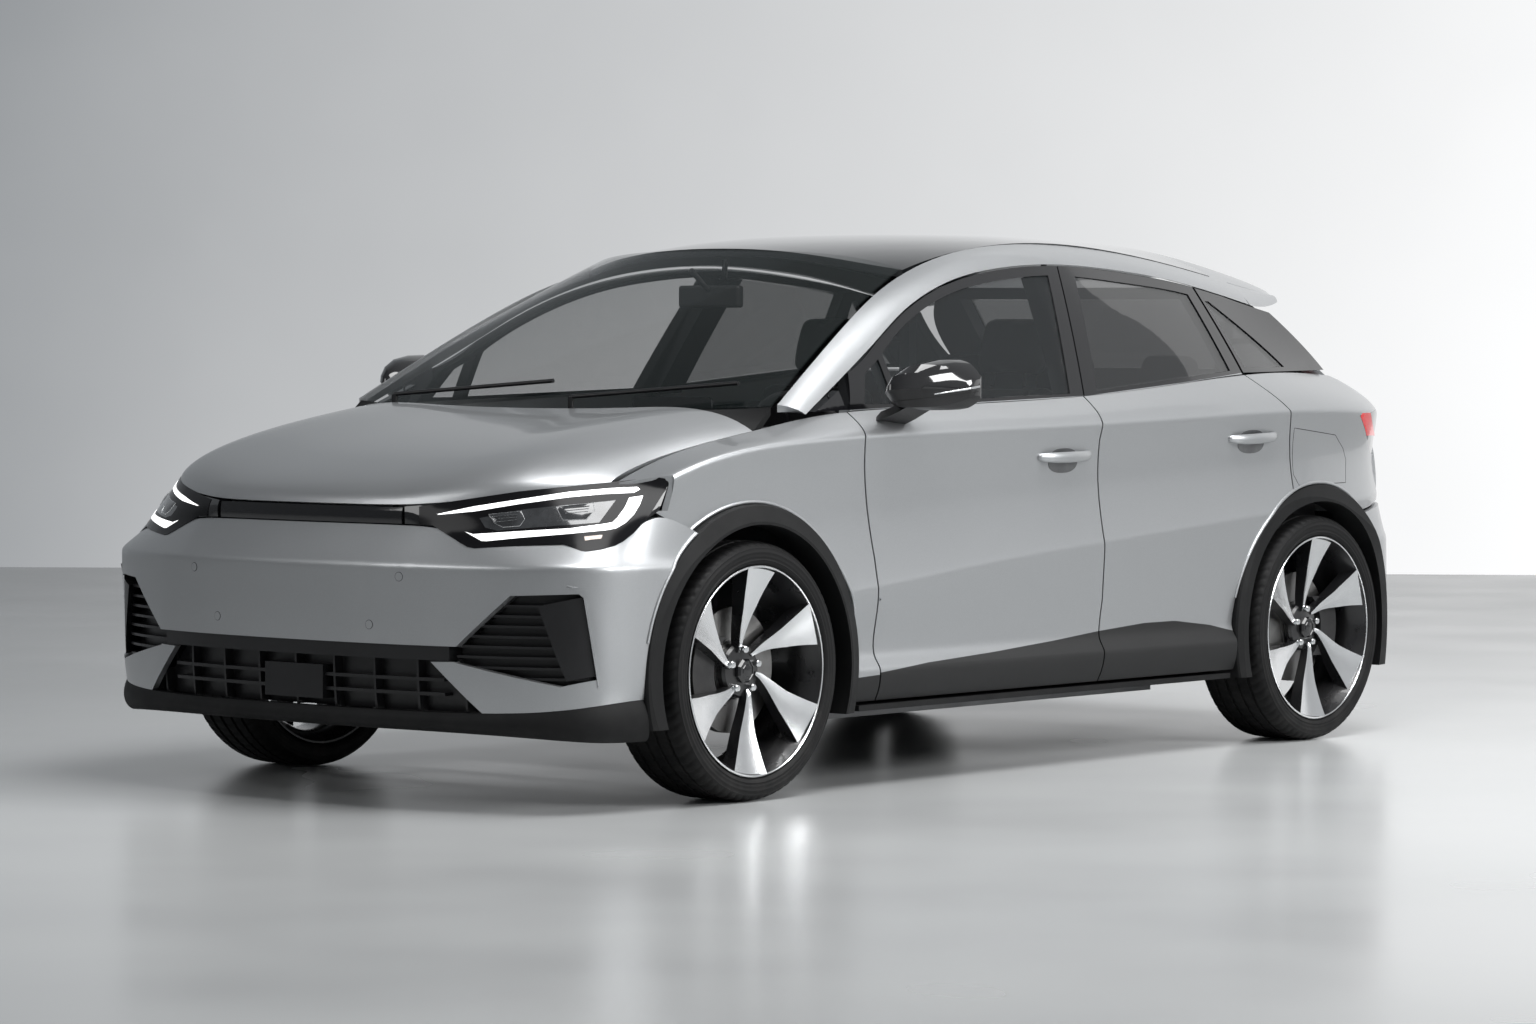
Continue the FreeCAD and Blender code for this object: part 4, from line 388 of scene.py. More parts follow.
def banded_paint(name, low_mask=None, high_mask=None):
    """Paint that turns to matte cladding below one line and to gloss black above another."""
    mat, tree, bsdf = new_material(name, SILVER, PAINT_ROUGH, PAINT_METAL, PAINT_COAT, coat_rough=0.04)
    flakes = place_group(tree, METAL_FLAKE, Colour=(*SILVER, 1), Scale=PAINT_FLAKE[0], Sparkle=PAINT_FLAKE[1])
    shade = flakes.outputs["Colour"]
    rough, metal, coat = None, None, None
    if low_mask:
        over = place_group(tree, low_mask).outputs["Mask"]
        clad = place_group(tree, TONE_DRIFT, Colour=(*CLAD, 1), Spread=0.15, Scale=8).outputs["Colour"]
        shade = mixed(tree, over, clad, shade)
        rough = ranged(tree, over, 0, 1, CLAD_ROUGH, PAINT_ROUGH)
        metal = ranged(tree, over, 0, 1, 0, PAINT_METAL)
        coat = ranged(tree, over, 0, 1, 0, PAINT_COAT)
    if high_mask:
        over = place_group(tree, high_mask).outputs["Mask"]
        shade = mixed(tree, over, shade, GLOSS)
        rough = math_node(tree, "MULTIPLY", rough, ranged(tree, over, 0, 1, 1, 0.3))
        metal = math_node(tree, "MULTIPLY", metal, ranged(tree, over, 0, 1, 1, 0))
    tree.links.new(shade, bsdf.inputs["Base Color"])
    for value, title in ((rough, "Roughness"), (metal, "Metallic"), (coat, "Coat Weight")):
        if value is not None:
            tree.links.new(value, bsdf.inputs[title])
    return mat


def make_glass(name, colour, clear):
    """Tinted pane: seen through where looked at squarely, mirror-like where looked at flatly."""
    mat, tree, bsdf = new_material(name, colour, 0.015, coat=1.0, spec=0.9, coat_rough=0.01)
    tone = place_group(tree, TONE_DRIFT, Colour=(*colour, 1), Spread=0.1, Scale=3)
    tree.links.new(tone.outputs["Colour"], bsdf.inputs["Base Color"])
    slant = put(tree, "LayerWeight")
    set_inputs(slant, Blend=0.5)
    mirror_share = math_node(tree, "POWER", slant.outputs["Facing"], 5)
    tree.links.new(ranged(tree, mirror_share, 0, 1, 1 - clear, 1), bsdf.inputs["Alpha"])
    return mat


def make_glow(name, colour, strength, base=(0.6, 0.6, 0.6)):
    """A light guide: glowing evenly, seen through a clear cover."""
    mat, tree, bsdf = new_material(name, base, 0.15, 0, 0.5)
    tone = place_group(tree, TONE_DRIFT, Colour=(*colour, 1), Spread=0.04, Scale=40)
    tree.links.new(tone.outputs["Colour"], bsdf.inputs["Emission Color"])
    bsdf.inputs["Emission Strength"].default_value = strength
    return mat


def make_turned(name, colour, rough, centre, spread=0.05, coat=0.0, strength=0.15):
    """Machined metal with fine rings about an axis through centre."""
    mat, tree, bsdf = new_material(name, colour, rough, 1.0, coat)
    tone = place_group(tree, TONE_DRIFT, Colour=(*colour, 1), Spread=spread, Scale=25)
    tree.links.new(tone.outputs["Colour"], bsdf.inputs["Base Color"])
    rings = place_group(tree, TURNED_RINGS, Centre=centre)
    relief(tree, bsdf, rings.outputs["Height"], strength, RING_DEPTH)
    return mat


def make_upholstery(name, colour):
    """Woven cover with a soft sheen, and a painted highlight that makes the raised threads lighter than the
    sunken ones.
    """
    mat, tree, bsdf = new_material(name, colour, 0.85, 0, 0, 0.3)
    weave = place_group(tree, CLOTH_WEAVE, Scale=2600)
    # Painted highlight: the raised threads are painted half again as light as the threads between them.
    raised = tuple(c * 1.5 for c in colour)
    shade = mixed(tree, weave.outputs["Mask"], colour, raised)
    tree.links.new(shade, bsdf.inputs["Base Color"])
    relief(tree, bsdf, weave.outputs["Height"], 0.35, WEAVE_DEPTH)
    set_inputs(bsdf, Sheen_Weight=0.25, Sheen_Roughness=0.4)
    return mat


PAINT = finish("body_paint", SILVER, PAINT_ROUGH, PAINT_METAL, PAINT_COAT, drift=(2, 0.012), gloss=(4, 0.04),
               flake=PAINT_FLAKE)
DOOR_PAINT = banded_paint("door_paint", WEDGE_MASK, BELT_MASK)
WING_PAINT = banded_paint("wing_paint", FOOT_MASK)
GLOSS_BLACK = finish("gloss_black", GLOSS, 0.07, 0, 0.7, drift=(3, 0.15))
ROOF_GLASS = finish("roof_glass", (0.007, 0.008, 0.009), 0.05, 0, 0.8, drift=(2, 0.1))
CLADDING = finish("dark_cladding", CLAD, CLAD_ROUGH, spec=0.25, drift=(8, 0.15), grain=(1500, 0.25),
                  dust=(0.05, 0.4))
SATIN = finish("satin_black", (0.010, 0.010, 0.011), 0.35, spec=0.4, drift=(10, 0.12), grain=(1800, 0.1))
TYRE = finish("tyre_rubber", (0.005, 0.005, 0.0053), 0.62, spec=0.25, drift=(9, 0.2), grain=(700, 0.2),
              dust=(0.08, 0.45))
SCREEN_GLASS = make_glass("screen_glass", (0.012, 0.020, 0.020), 0.88)
SIDE_GLASS = make_glass("side_glass", (0.010, 0.014, 0.016), 0.72)
DARK_GLASS = make_glass("dark_glass", (0.007, 0.008, 0.009), 0.40)
STEEL = finish("primed_steel", (0.055, 0.057, 0.06), 0.55, 0.2, drift=(4, 0.15), dust=(0.25, 0.5))
CAST = finish("coated_iron", (0.035, 0.035, 0.036), 0.55, 0.4, drift=(12, 0.2), grain=(300, 0.3),
              dust=(0.3, 0.6))
TRAY = finish("cast_aluminium", (0.17, 0.172, 0.176), 0.5, 0.9, drift=(6, 0.15), grain=(200, 0.2),
              dust=(0.3, 0.5))
TRIM = finish("cabin_trim", (0.016, 0.016, 0.017), 0.6, spec=0.35, drift=(10, 0.15), grain=(1800, 0.35))
SEAL = finish("seal_rubber", (0.008, 0.008, 0.008), 0.6, spec=0.3, drift=(20, 0.15))
RIM_BLACK = finish("rim_black", (0.010, 0.010, 0.011), 0.28, 0, 0.4, drift=(12, 0.15), dust=(0.1, 0.6))
BRIGHT = finish("bright_metal", (0.66, 0.67, 0.68), 0.16, 1.0, 0.3, drift=(20, 0.05))
CHROME_LINE = finish("bright_line", (0.5, 0.51, 0.52), 0.2, 1.0, drift=(15, 0.06))
LED_WHITE = make_glow("led_white", (1.0, 1.0, 1.0), 1.6)
LAMP_RED = make_glow("lamp_red", (0.55, 0.012, 0.014), 0.55, (0.35, 0.01, 0.012))
LAMP_BLACK = finish("lamp_black", GLOSS, 0.16, spec=0.16, drift=(3, 0.15))
REFLECTOR_RED = finish("reflector_red", (0.22, 0.008, 0.009), 0.3, 0, 0.6, drift=(90, 0.2))
LAMP_CLEAR = finish("lamp_clear", (0.55, 0.56, 0.57), 0.1, 0.6, 1.0, drift=(30, 0.2))
LAMP_AMBER = finish("lamp_amber", (0.35, 0.27, 0.22), 0.2, 0.2, 1.0, drift=(60, 0.35))
LENS_GREY = finish("lens_grey", (0.035, 0.037, 0.040), 0.12, 0.2, 1.0, drift=(35, 0.3))
MIRROR_FACE = finish("mirror_face", (0.75, 0.77, 0.78), 0.03, 1.0, drift=(5, 0.02))
# Darker grey for the door handles' cups: painted shade where the recess behind each pull bar would darken.
CUP_SHADE = finish("handle_cup", (0.13, 0.133, 0.137), 0.4, 0.6, 0.6, drift=(14, 0.3))
CLOTH = make_upholstery("seat_cloth", (0.020, 0.0205, 0.022))
BOLSTER_HIDE = finish("bolster_hide", (0.017, 0.017, 0.018), 0.5, spec=0.4, drift=(9, 0.2), grain=(500, 0.4))

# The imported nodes, named without their sides, that each finish dresses.
DRESSED = (
    (PAINT, "roof_rails bonnet front_bumper rear_wings rear_bumper tailgate"),
    (DOOR_PAINT, "front_door rear_door"),
    (WING_PAINT, "front_wings"),
    (GLOSS_BLACK, "nose_bar headlamps tail_lamps quarter_panels centre_pillars door_mirror"),
    (ROOF_GLASS, "roof_panel"),
    (SCREEN_GLASS, "windscreen"),
    (SIDE_GLASS, "front_door_glass"),
    (DARK_GLASS, "rear_door_glass tailgate_glass quarter_glass"),
    (CLADDING, "scuttle front_skirt rear_skirt arch_cladding sills"),
    (SATIN, "front_grilles wipers"),
    (TYRE, "front_tyre rear_tyre"),
    (RIM_BLACK, "front_rim rear_rim"),
    (CAST, "front_knuckle front_subframe rear_axle"),
    (STEEL, "floor front_structure rear_structure"),
    (TRAY, "battery_case drive_unit"),
    (TRIM, "front_seats rear_bench dashboard steering_wheel interior_mirror"),
)
FINISHES = {name: material for material, names in DRESSED for name in names.split()}
for end, axle in AXLES:
    FINISHES[end + "_brake_disc"] = make_turned(end + "_turned_iron", (0.30, 0.297, 0.293), 0.36,
                                                (axle, 0, AXLE_HEIGHT), 0.12, strength=0.3)


def kind_of(name):
    """A node's name without its side."""
    for side, _ in SIDES:
        name = name.removesuffix("_" + side)
    return name


def dress_frame():
    """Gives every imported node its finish."""
    for name, item in CAD.items():
        material = FINISHES[kind_of(name)]
        if not item.material_slots:
            item.data.materials.append(material)
        for place in item.material_slots:
            place.material = material


dress_frame()


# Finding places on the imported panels


SKINS = {}


def skin(*names):
    """A tree of the faces of these nodes, for finding where a line meets them."""
    if names not in SKINS:
        corners, faces = [], []
        for name in names:
            mesh = CAD[name].data
            start = len(corners)
            corners += [v.co.copy() for v in mesh.vertices]
            faces += [[start + i for i in p.vertices] for p in mesh.polygons]
        SKINS[names] = BVHTree.FromPolygons(corners, faces)
    return SKINS[names]


RIGHT, UP, FORWARD = camera_axes()


def by_photo(px, py):
    """The line of sight through a pixel of the photograph's frame."""
    way = FORWARD * FOCAL + RIGHT * (px - PHOTO_SIZE[0] / 2) - UP * (py - PHOTO_SIZE[1] / 2)
    return CAMERA_PLACE, way.normalized()


def by_side(x, z):
    """A line from the car's left towards its right side."""
    return Vector((x, 1.6, z)), Vector((0, -1, 0))


def by_front(y, z):
    """A line from ahead of the car towards its tail."""
    return Vector((3, y, z)), Vector((-1, 0, 0))


def by_rear(y, z):
    """A line from behind the car towards its nose."""
    return Vector((-3, y, z)), Vector((1, 0, 0))


def struck(tree, ray):
    """Where a line meets a skin, and the outward direction there; nothing where it misses."""
    origin, way = ray
    point, normal, _, _ = tree.ray_cast(origin, way)
    if point is None:
        return None
    if normal.dot(way) > 0:
        normal = -normal
    return point, normal


# Making pieces


def new_piece(name, corners, faces, materials, body, which=None, sharp=40):
    """A mesh piece that rides on a body; which gives each face's material."""
    if not isinstance(materials, (list, tuple)):
        materials = [materials]
    mesh = bpy.data.meshes.new(name)
    mesh.from_pydata([tuple(c) for c in corners], [], faces)
    for material in materials:
        mesh.materials.append(material)
    if which:
        mesh.polygons.foreach_set("material_index", which)
    form = bmesh.new()
    form.from_mesh(mesh)
    bmesh.ops.recalc_face_normals(form, faces=form.faces)
    form.to_mesh(mesh)
    form.free()
    mesh.polygons.foreach_set("use_smooth", [True] * len(mesh.polygons))
    mesh.set_sharp_from_angle(angle=math.radians(sharp))
    obj = bpy.data.objects.new(name, mesh)
    bpy.context.scene.collection.objects.link(obj)
    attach(obj, body)
    return obj


def mirrored(corners):
    """The same points on the car's other side."""
    return [Vector((c[0], -c[1], c[2])) for c in corners]


def joined(parts):
    """Several (corners, faces) as one."""
    corners, faces = [], []
    for some, more in parts:
        start = len(corners)
        corners += some
        faces += [[start + i for i in face] for face in more]
    return corners, faces


def place_sides(name, corners, faces, materials, body, side="both", **more):
    """One piece with both sides in it, or a piece of its own for each side's body."""
    if side == "both":
        corners, faces = joined([(corners, faces), (mirrored(corners), faces)])
        return [new_piece(name, corners, faces, materials, body, **more)]
    made = []
    for label, sign in SIDES:
        own = corners if sign > 0 else mirrored(corners)
        carrier = "%s_%s" % (body, label)
        made.append(new_piece("%s_%s" % (name, label), own, faces, materials, carrier, **more))
    return made


def inside(x, y, outline):
    """Whether a point lies in a flat outline."""
    hit = False
    for (x0, y0), (x1, y1) in zip(outline, outline[1:] + outline[:1]):
        if (y0 > y) != (y1 > y) and x < (x1 - x0) * (y - y0) / (y1 - y0) + x0:
            hit = not hit
    return hit


def stepped(outline, step, closed=True):
    """An outline with points added so that none are further apart than a step."""
    points = []
    ends = outline[1:] + outline[:1] if closed else outline[1:]
    for start, end in zip(outline, ends):
        start, end = Vector(start), Vector(end)
        count = max(1, math.ceil((end - start).length / step))
        points += [tuple(start.lerp(end, i / count)) for i in range(count)]
    if not closed:
        points.append(tuple(outline[-1]))
    return points


# Of a step: how far the filling points stay from the edge, and how far apart their rows are.
EDGE_ROOM = 0.6
ROW_SHARE = 0.87


def filled(outline, step):
    """Even triangles inside a flat outline: their corners and their faces."""
    edge = stepped(list(outline), step)
    points = [Vector(p) for p in edge]
    xs, ys = [p[0] for p in edge], [p[1] for p in edge]
    bounds = points[:]
    row = 0
    y = min(ys) + step / 2
    while y < max(ys):
        x = min(xs) + (step / 4 if row % 2 else step * 3 / 4)
        while x < max(xs):
            place = Vector((x, y))
            if inside(x, y, edge) and min((place - p).length for p in bounds) > step * EDGE_ROOM:
                points.append(place)
            x += step
        y += step * ROW_SHARE
        row += 1
    loop = [(i, (i + 1) % len(edge)) for i in range(len(edge))]
    flat, _, faces, _, _, _ = delaunay_2d_cdt(points, loop, [], 1, step * 1e-4)
    return flat, faces


# A smooth skin is a polynomial with these numbers of powers across and down, fitted in rounds that leave out
# what lies deeper or higher than the rest, then eased a few times.
SKIN_POWERS = (6, 4)
SKIN_ROUNDS = 15
SKIN_CLOSE = 0.002
SKIN_DEEP = 2.5
SKIN_EASINGS = 3


def smooth_skin(outline, ray, tree, step):
    """A smooth skin through where lines of sight meet the panels, carried on across their gaps."""
    flat, faces = filled(outline, step)
    rays = [ray(p[0], p[1]) for p in flat]
    reach = []
    for origin, way in rays:
        hit = struck(tree, (origin, way))
        reach.append((hit[0] - origin).length if hit else math.nan)
    reach = np.array(reach)
    places = np.array([tuple(p) for p in flat])
    low, high = places.min(0), places.max(0)
    u, v = ((places - low) / (high - low) * 2 - 1).T
    across, down = SKIN_POWERS
    terms = np.stack([u ** i * v ** j for i in range(across) for j in range(down)], 1)
    kept = np.isfinite(reach)
    for _ in range(SKIN_ROUNDS):
        found = np.linalg.lstsq(terms[kept], reach[kept], rcond=None)[0]
        over = np.nan_to_num(reach) - terms @ found
        spread = max(SKIN_CLOSE, 2 * np.median(np.abs(over[kept])))
        kept = np.isfinite(reach) & (over < spread) & (over > -SKIN_DEEP * spread)
    fit = np.clip(terms @ found, reach[kept].min(), reach[kept].max())
    offset = np.where(kept, over, 0)
    near = [set() for _ in flat]
    for face in faces:
        for i in face:
            near[i].update(face)
    for _ in range(SKIN_EASINGS):
        offset = np.array([offset[list(group)].mean() if group else offset[i]
                           for i, group in enumerate(near)])
    corners = [origin + way * float(far) for (origin, way), far in zip(rays, fit + offset)]
    return BVHTree.FromPolygons(corners, faces)


def grown(outline, share):
    """An outline made larger or smaller about its middle."""
    middle_x = sum(p[0] for p in outline) / len(outline)
    middle_y = sum(p[1] for p in outline) / len(outline)
    return [(middle_x + (x - middle_x) * share, middle_y + (y - middle_y) * share) for x, y in outline]


def open_edges(faces):
    """The edges that only one face uses, in that face's direction."""
    count = {}
    for face in faces:
        for a, b in zip(face, face[1:] + face[:1]):
            count[(a, b)] = count.get((a, b), 0) + 1
    return [(a, b) for a, b in count if (b, a) not in count]


# Where a line misses the skin, the skin's place nearest to this far along the line is taken.
MISS_REACH = 1.5


def slab_parts(outline, ray, tree, step, lift, depth, crown=0.0):
    """A thin closed patch that lies on a skin: its top is lifted off it and its back is sunk into it."""
    flat, faces = filled(outline, step)
    edge = [Vector(p) for p in stepped(list(outline), step)]
    top, bottom = [], []
    for p in flat:
        hit = struck(tree, ray(p[0], p[1]))
        if hit is None:
            origin, way = ray(p[0], p[1])
            hit = tree.find_nearest(origin + way * MISS_REACH)[:2]
        point, normal = hit
        rise = lift
        if crown:
            near = min((Vector(p) - e).length for e in edge)
            rise += crown * math.sqrt(min(near / (step * 3), 1))
        top.append(point + normal * rise)
        bottom.append(point - normal * depth)
    count = len(top)
    solid = [list(face) for face in faces]
    solid += [[count + i for i in reversed(face)] for face in faces]
    solid += [[b, a, count + a, count + b] for a, b in open_edges([list(f) for f in faces])]
    return top + bottom, solid


def slab(name, outline, ray, tree, material, body, step=0.02, lift=0.001, depth=0.002, crown=0.0,
         side="both", **more):
    """A thin patch as a piece."""
    corners, faces = slab_parts(outline, ray, tree, step, lift, depth, crown)
    return place_sides(name, corners, faces, material, body, side, **more)


# A strip's section: how far sideways of its width, and how far up of its rise or, below, of its depth.
STRIP = ((-0.5, -1), (-0.5, 0.35), (-0.32, 0.85), (0, 1), (0.32, 0.85), (0.5, 0.35), (0.5, -1))


def ribbon_parts(points, normals, width, rise, depth, closed=False):
    """A strip with a rounded top along points on a surface; width is a number or one for each point."""
    count = len(points)
    widths = [width] * count if isinstance(width, (int, float)) else width
    rows = []
    for i in range(count):
        before = points[i - 1] if i or closed else points[i]
        after = points[(i + 1) % count] if i < count - 1 or closed else points[i]
        across = (after - before).cross(normals[i]).normalized()
        heights = [rise * up if up > 0 else -depth for _, up in STRIP]
        rows.append([points[i] + across * sideways * widths[i] + normals[i] * height
                     for (sideways, _), height in zip(STRIP, heights)])
    return grid_parts(rows, closed, True, not closed)


def ribbon(name, path, ray, tree, material, body, width=0.003, rise=0.0008, depth=0.002, step=0.02,
           closed=False, side="both", **more):
    """A strip that follows a drawn line over a skin; width is a number, or one for each end."""
    points, normals = [], []
    for p in stepped(list(path), step, closed):
        hit = struck(tree, ray(p[0], p[1]))
        if hit:
            points.append(hit[0])
            normals.append(hit[1])
    if not isinstance(width, (int, float)):
        low, high = width
        width = [low + (high - low) * i / (len(points) - 1) for i in range(len(points))]
    corners, faces = ribbon_parts(points, normals, width, rise, depth, closed)
    return place_sides(name, corners, faces, material, body, side, **more)


def tube_parts(points, radius, around=12):
    """A round bar along points, closed at both ends; radius is a number or one for each point."""
    radii = [radius] * len(points) if isinstance(radius, (int, float)) else radius
    rows = []
    side = None
    for i, point in enumerate(points):
        way = (points[min(i + 1, len(points) - 1)] - points[max(i - 1, 0)]).normalized()
        if side is None:
            side = way.orthogonal().normalized()
        side = (side - way * side.dot(way)).normalized()
        other = way.cross(side)
        turns = [2 * math.pi * k / around for k in range(around)]
        rows.append([point + (side * math.cos(turn) + other * math.sin(turn)) * radii[i] for turn in turns])
    return grid_parts(rows, False, True, True)


def grid_parts(rows, closed_rows=False, closed_columns=False, capped=False):
    """Faces between rows of points."""
    wide = len(rows[0])
    corners = [p for row in rows for p in row]
    faces = []
    for i in range(len(rows) if closed_rows else len(rows) - 1):
        for k in range(wide if closed_columns else wide - 1):
            a, b = i * wide + k, i * wide + (k + 1) % wide
            j = (i + 1) % len(rows)
            faces.append([a, b, j * wide + (k + 1) % wide, j * wide + k])
    if capped:
        faces.append(list(range(wide))[::-1])
        faces.append([(len(rows) - 1) * wide + k for k in range(wide)])
    return corners, faces


# Wheels.  A place on one is given by how far it is out from the tyre's middle, its radius and its angle,
# seen from outside the left of the car with nothing at the rear and turning up.


RIM_RADIUS = 0.284
HUB_RADIUS = 0.055
BLADE_COUNT = 6
BLADE_PHASE = 85.3
BLADE_STATIONS = 22
BLADE_STRIPS = 8
BLADE_REACH = (0.19, 0.985)
# The blades' edges, as a share of the rim's radius and the two edges' angles.
BLADE_EDGES = ((1.0, 13.2, -13.2), (0.93, 13.0, -12.2), (0.84, 12.9, -10.7), (0.72, 13.0, -8.5),
               (0.6, 13.3, -6.0), (0.5, 15.0, -2.4), (0.4, 18.0, 2.2), (0.3, 22.5, 8.5), (0.22, 27.5, 15.0),
               (0.19, 28.5, 19.0))
# Profiles that are turned about the axle, as (radius, how far out).
BARREL = ((0.2775, 0.1085), (0.2690, 0.0900), (0.2560, 0.0640), (0.2470, 0.0300), (0.2450, -0.0600),
          (0.2560, -0.0900), (0.2780, -0.1110), (0.2835, -0.1110), (0.2835, -0.1040), (0.2700, -0.0980),
          (0.2580, -0.0560), (0.2580, 0.0360), (0.2670, 0.0700), (0.2790, 0.0980), (0.2830, 0.1010))
LIP = ((0.2775, 0.1070), (0.2785, 0.1110), (0.2815, 0.1124), (0.2838, 0.1110), (0.2838, 0.1020),
       (0.2790, 0.1010))
HUB = ((0.001, 0.020), (0.060, 0.020), (0.072, 0.030), (0.074, 0.048), (0.068, 0.056), (0.045, 0.058),
       (0.034, 0.060), (0.001, 0.060))
CAP = ((0.034, 0.054), (0.034, 0.070), (0.029, 0.0765), (0.0265, 0.0770), (0.0250, 0.0745), (0.0180, 0.0745),
       (0.0165, 0.0765), (0.004, 0.0775))
CAP_SIDES = 8
VALVE = ((0.262, 0.086), (0.252, 0.092), (0.240, 0.096))
NUT_COUNT = 5
NUT_SIDES = 20
TYRE_SIDE = ((0.2850, 0.1055), (0.2900, 0.1110), (0.2945, 0.1148), (0.2990, 0.1160), (0.3015, 0.1142),
             (0.3060, 0.1150), (0.3085, 0.1162), (0.3110, 0.1152), (0.3180, 0.1168), (0.3205, 0.1174),
             (0.3230, 0.1160), (0.3290, 0.1150), (0.3315, 0.1152), (0.3340, 0.1122), (0.3380, 0.1100),
             (0.3420, 0.1050), (0.3450, 0.0990), (0.3468, 0.0930), (0.3480, 0.0870), (0.3488, 0.0810))
TREAD_RADIUS = 0.3498
GROOVE_RADIUS = 0.3440
TYRE_GROOVES = (0.0620, 0.0210, -0.0210, -0.0620)
TYRE_STEPS = 360
# Cuts across the tread: from which radius, how far apart and how wide in degrees, and how many degrees they
# lean for each metre outward.
CUT_FROM = 0.3345
CUT_EVERY = 5
CUT_WIDTH = 0.99
CUT_LEAN = 90


def on_wheel(axle, out, radius, angle):
    """A place on the left wheel of an axle."""
    turn = math.radians(angle)
    return Vector((axle - math.cos(turn) * radius, WHEEL_PLANE + out, AXLE_HEIGHT + math.sin(turn) * radius))


def turned_parts(axle, profile, steps=120):
    """A profile turned about the axle."""
    rows = [[on_wheel(axle, out, radius, 360 * i / steps) for radius, out in profile] for i in range(steps)]
    return grid_parts(rows, True, True)


def tread_profile():
    """The tyre's outline from the outer bead over the tread to the inner bead."""
    points = list(TYRE_SIDE)
    for groove in TYRE_GROOVES:
        points += [(TREAD_RADIUS, groove + 0.0056), (GROOVE_RADIUS, groove + 0.0046),
                   (GROOVE_RADIUS, groove - 0.0046), (TREAD_RADIUS, groove - 0.0056)]
        if groove != TYRE_GROOVES[-1]:
            points.append((0.3500, groove - 0.0205))
    points += [(radius, -out) for radius, out in reversed(TYRE_SIDE)]
    return points


def tyre_parts(axle):
    """A tyre with its grooves and its leaning cuts."""
    profile = tread_profile()
    rows = []
    for i in range(TYRE_STEPS):
        angle = 360 * i / TYRE_STEPS
        row = []
        for radius, out in profile:
            slant = angle + abs(out) * CUT_LEAN
            if radius > CUT_FROM and slant % CUT_EVERY < CUT_WIDTH:
                radius -= 0.0040 if abs(out) > 0.07 else 0.0022
            row.append(on_wheel(axle, out, radius, angle))
        rows.append(row)
    return grid_parts(rows, True, True)


def blade_face(radius):
    """How far out the blades' faces lie at a radius: dished in towards the hub."""
    share = (radius - HUB_RADIUS) / (RIM_RADIUS - HUB_RADIUS)
    return 0.066 + 0.043 * share - 0.007 * math.sin(math.pi * min(max(share, 0), 1))


def blade_edges(share):
    """The two edge angles of a blade at a share of the rim's radius."""
    table = sorted(BLADE_EDGES)
    for low, high in zip(table, table[1:]):
        if share <= high[0]:
            part = (share - low[0]) / (high[0] - low[0])
            return low[1] + (high[1] - low[1]) * part, low[2] + (high[2] - low[2]) * part
    return table[-1][1:]


def blade_parts(axle, middle):
    """One blade: a bright twisted face and black flanks that spread as they go in."""
    first, last = BLADE_REACH
    front, under = [], []
    for i in range(BLADE_STATIONS):
        share = first + (last - first) * i / (BLADE_STATIONS - 1)
        high, low = blade_edges(share)
        radius = share * RIM_RADIUS
        spread = math.degrees(0.0045 / radius)
        deep = 0.016 + 0.030 * share
        front.append([])
        under.append([])
        root = 0.004 if i == 0 else 0
        for k in range(BLADE_STRIPS + 1):
            part = k / BLADE_STRIPS
            angle = middle + low + (high - low) * part
            twist = (part - 0.5) * 0.009 * share
            hollow = -0.0030 * math.sin(math.pi * part) * share
            front[-1].append(on_wheel(axle, blade_face(radius) + twist + hollow - root, radius, angle))
            wide = middle + low - spread + (high - low + 2 * spread) * part
            under[-1].append(on_wheel(axle, blade_face(radius) - deep, radius, wide))
    corners, faces = grid_parts(front)
    bright = len(faces)
    back, back_faces = grid_parts(under)
    start = len(corners)
    corners += back
    faces += [[start + i for i in reversed(face)] for face in back_faces]
    wide = BLADE_STRIPS + 1
    for i in range(BLADE_STATIONS - 1):
        for k in (0, BLADE_STRIPS):
            faces.append([i * wide + k, (i + 1) * wide + k, start + (i + 1) * wide + k, start + i * wide + k])
    for i in (0, BLADE_STATIONS - 1):
        for k in range(BLADE_STRIPS):
            faces.append([i * wide + k, i * wide + k + 1, start + i * wide + k + 1, start + i * wide + k])
    return corners, faces, bright


def round_nut(axle, radius, angle, size, low, high):
    """A round head standing out of the hub, eased at its top."""
    centre = on_wheel(axle, 0, radius, angle)
    rows = []
    for width, out in ((size, low), (size, high - size * 0.3), (size * 0.82, high - size * 0.06),
                       (size * 0.5, high)):
        turns = [2 * math.pi * k / NUT_SIDES for k in range(NUT_SIDES)]
        rows.append([centre + Vector((width * math.cos(turn), out, width * math.sin(turn)))
                     for turn in turns])
    return grid_parts(rows, False, True, True)


def rim_parts(axle):
    """Barrel, blades, lip, hub and nuts as one, with a 1 for each bright face and a 0 for each black one."""
    parts = [turned_parts(axle, BARREL)]
    which = [0] * len(parts[0][1])
    for i in range(BLADE_COUNT):
        corners, faces, bright = blade_parts(axle, BLADE_PHASE + 360 / BLADE_COUNT * i)
        parts.append((corners, faces))
        which += [1] * bright + [0] * (len(faces) - bright)
    more = [(turned_parts(axle, LIP, 180), 1), (turned_parts(axle, HUB, 72), 0)]
    more += [(round_nut(axle, 0.057, 17 + 360 / NUT_COUNT * i, 0.0100, 0.050, 0.0745), 1)
             for i in range(NUT_COUNT)]
    for part, bright in more:
        parts.append(part)
        which += [bright] * len(part[1])
    return *joined(parts), which


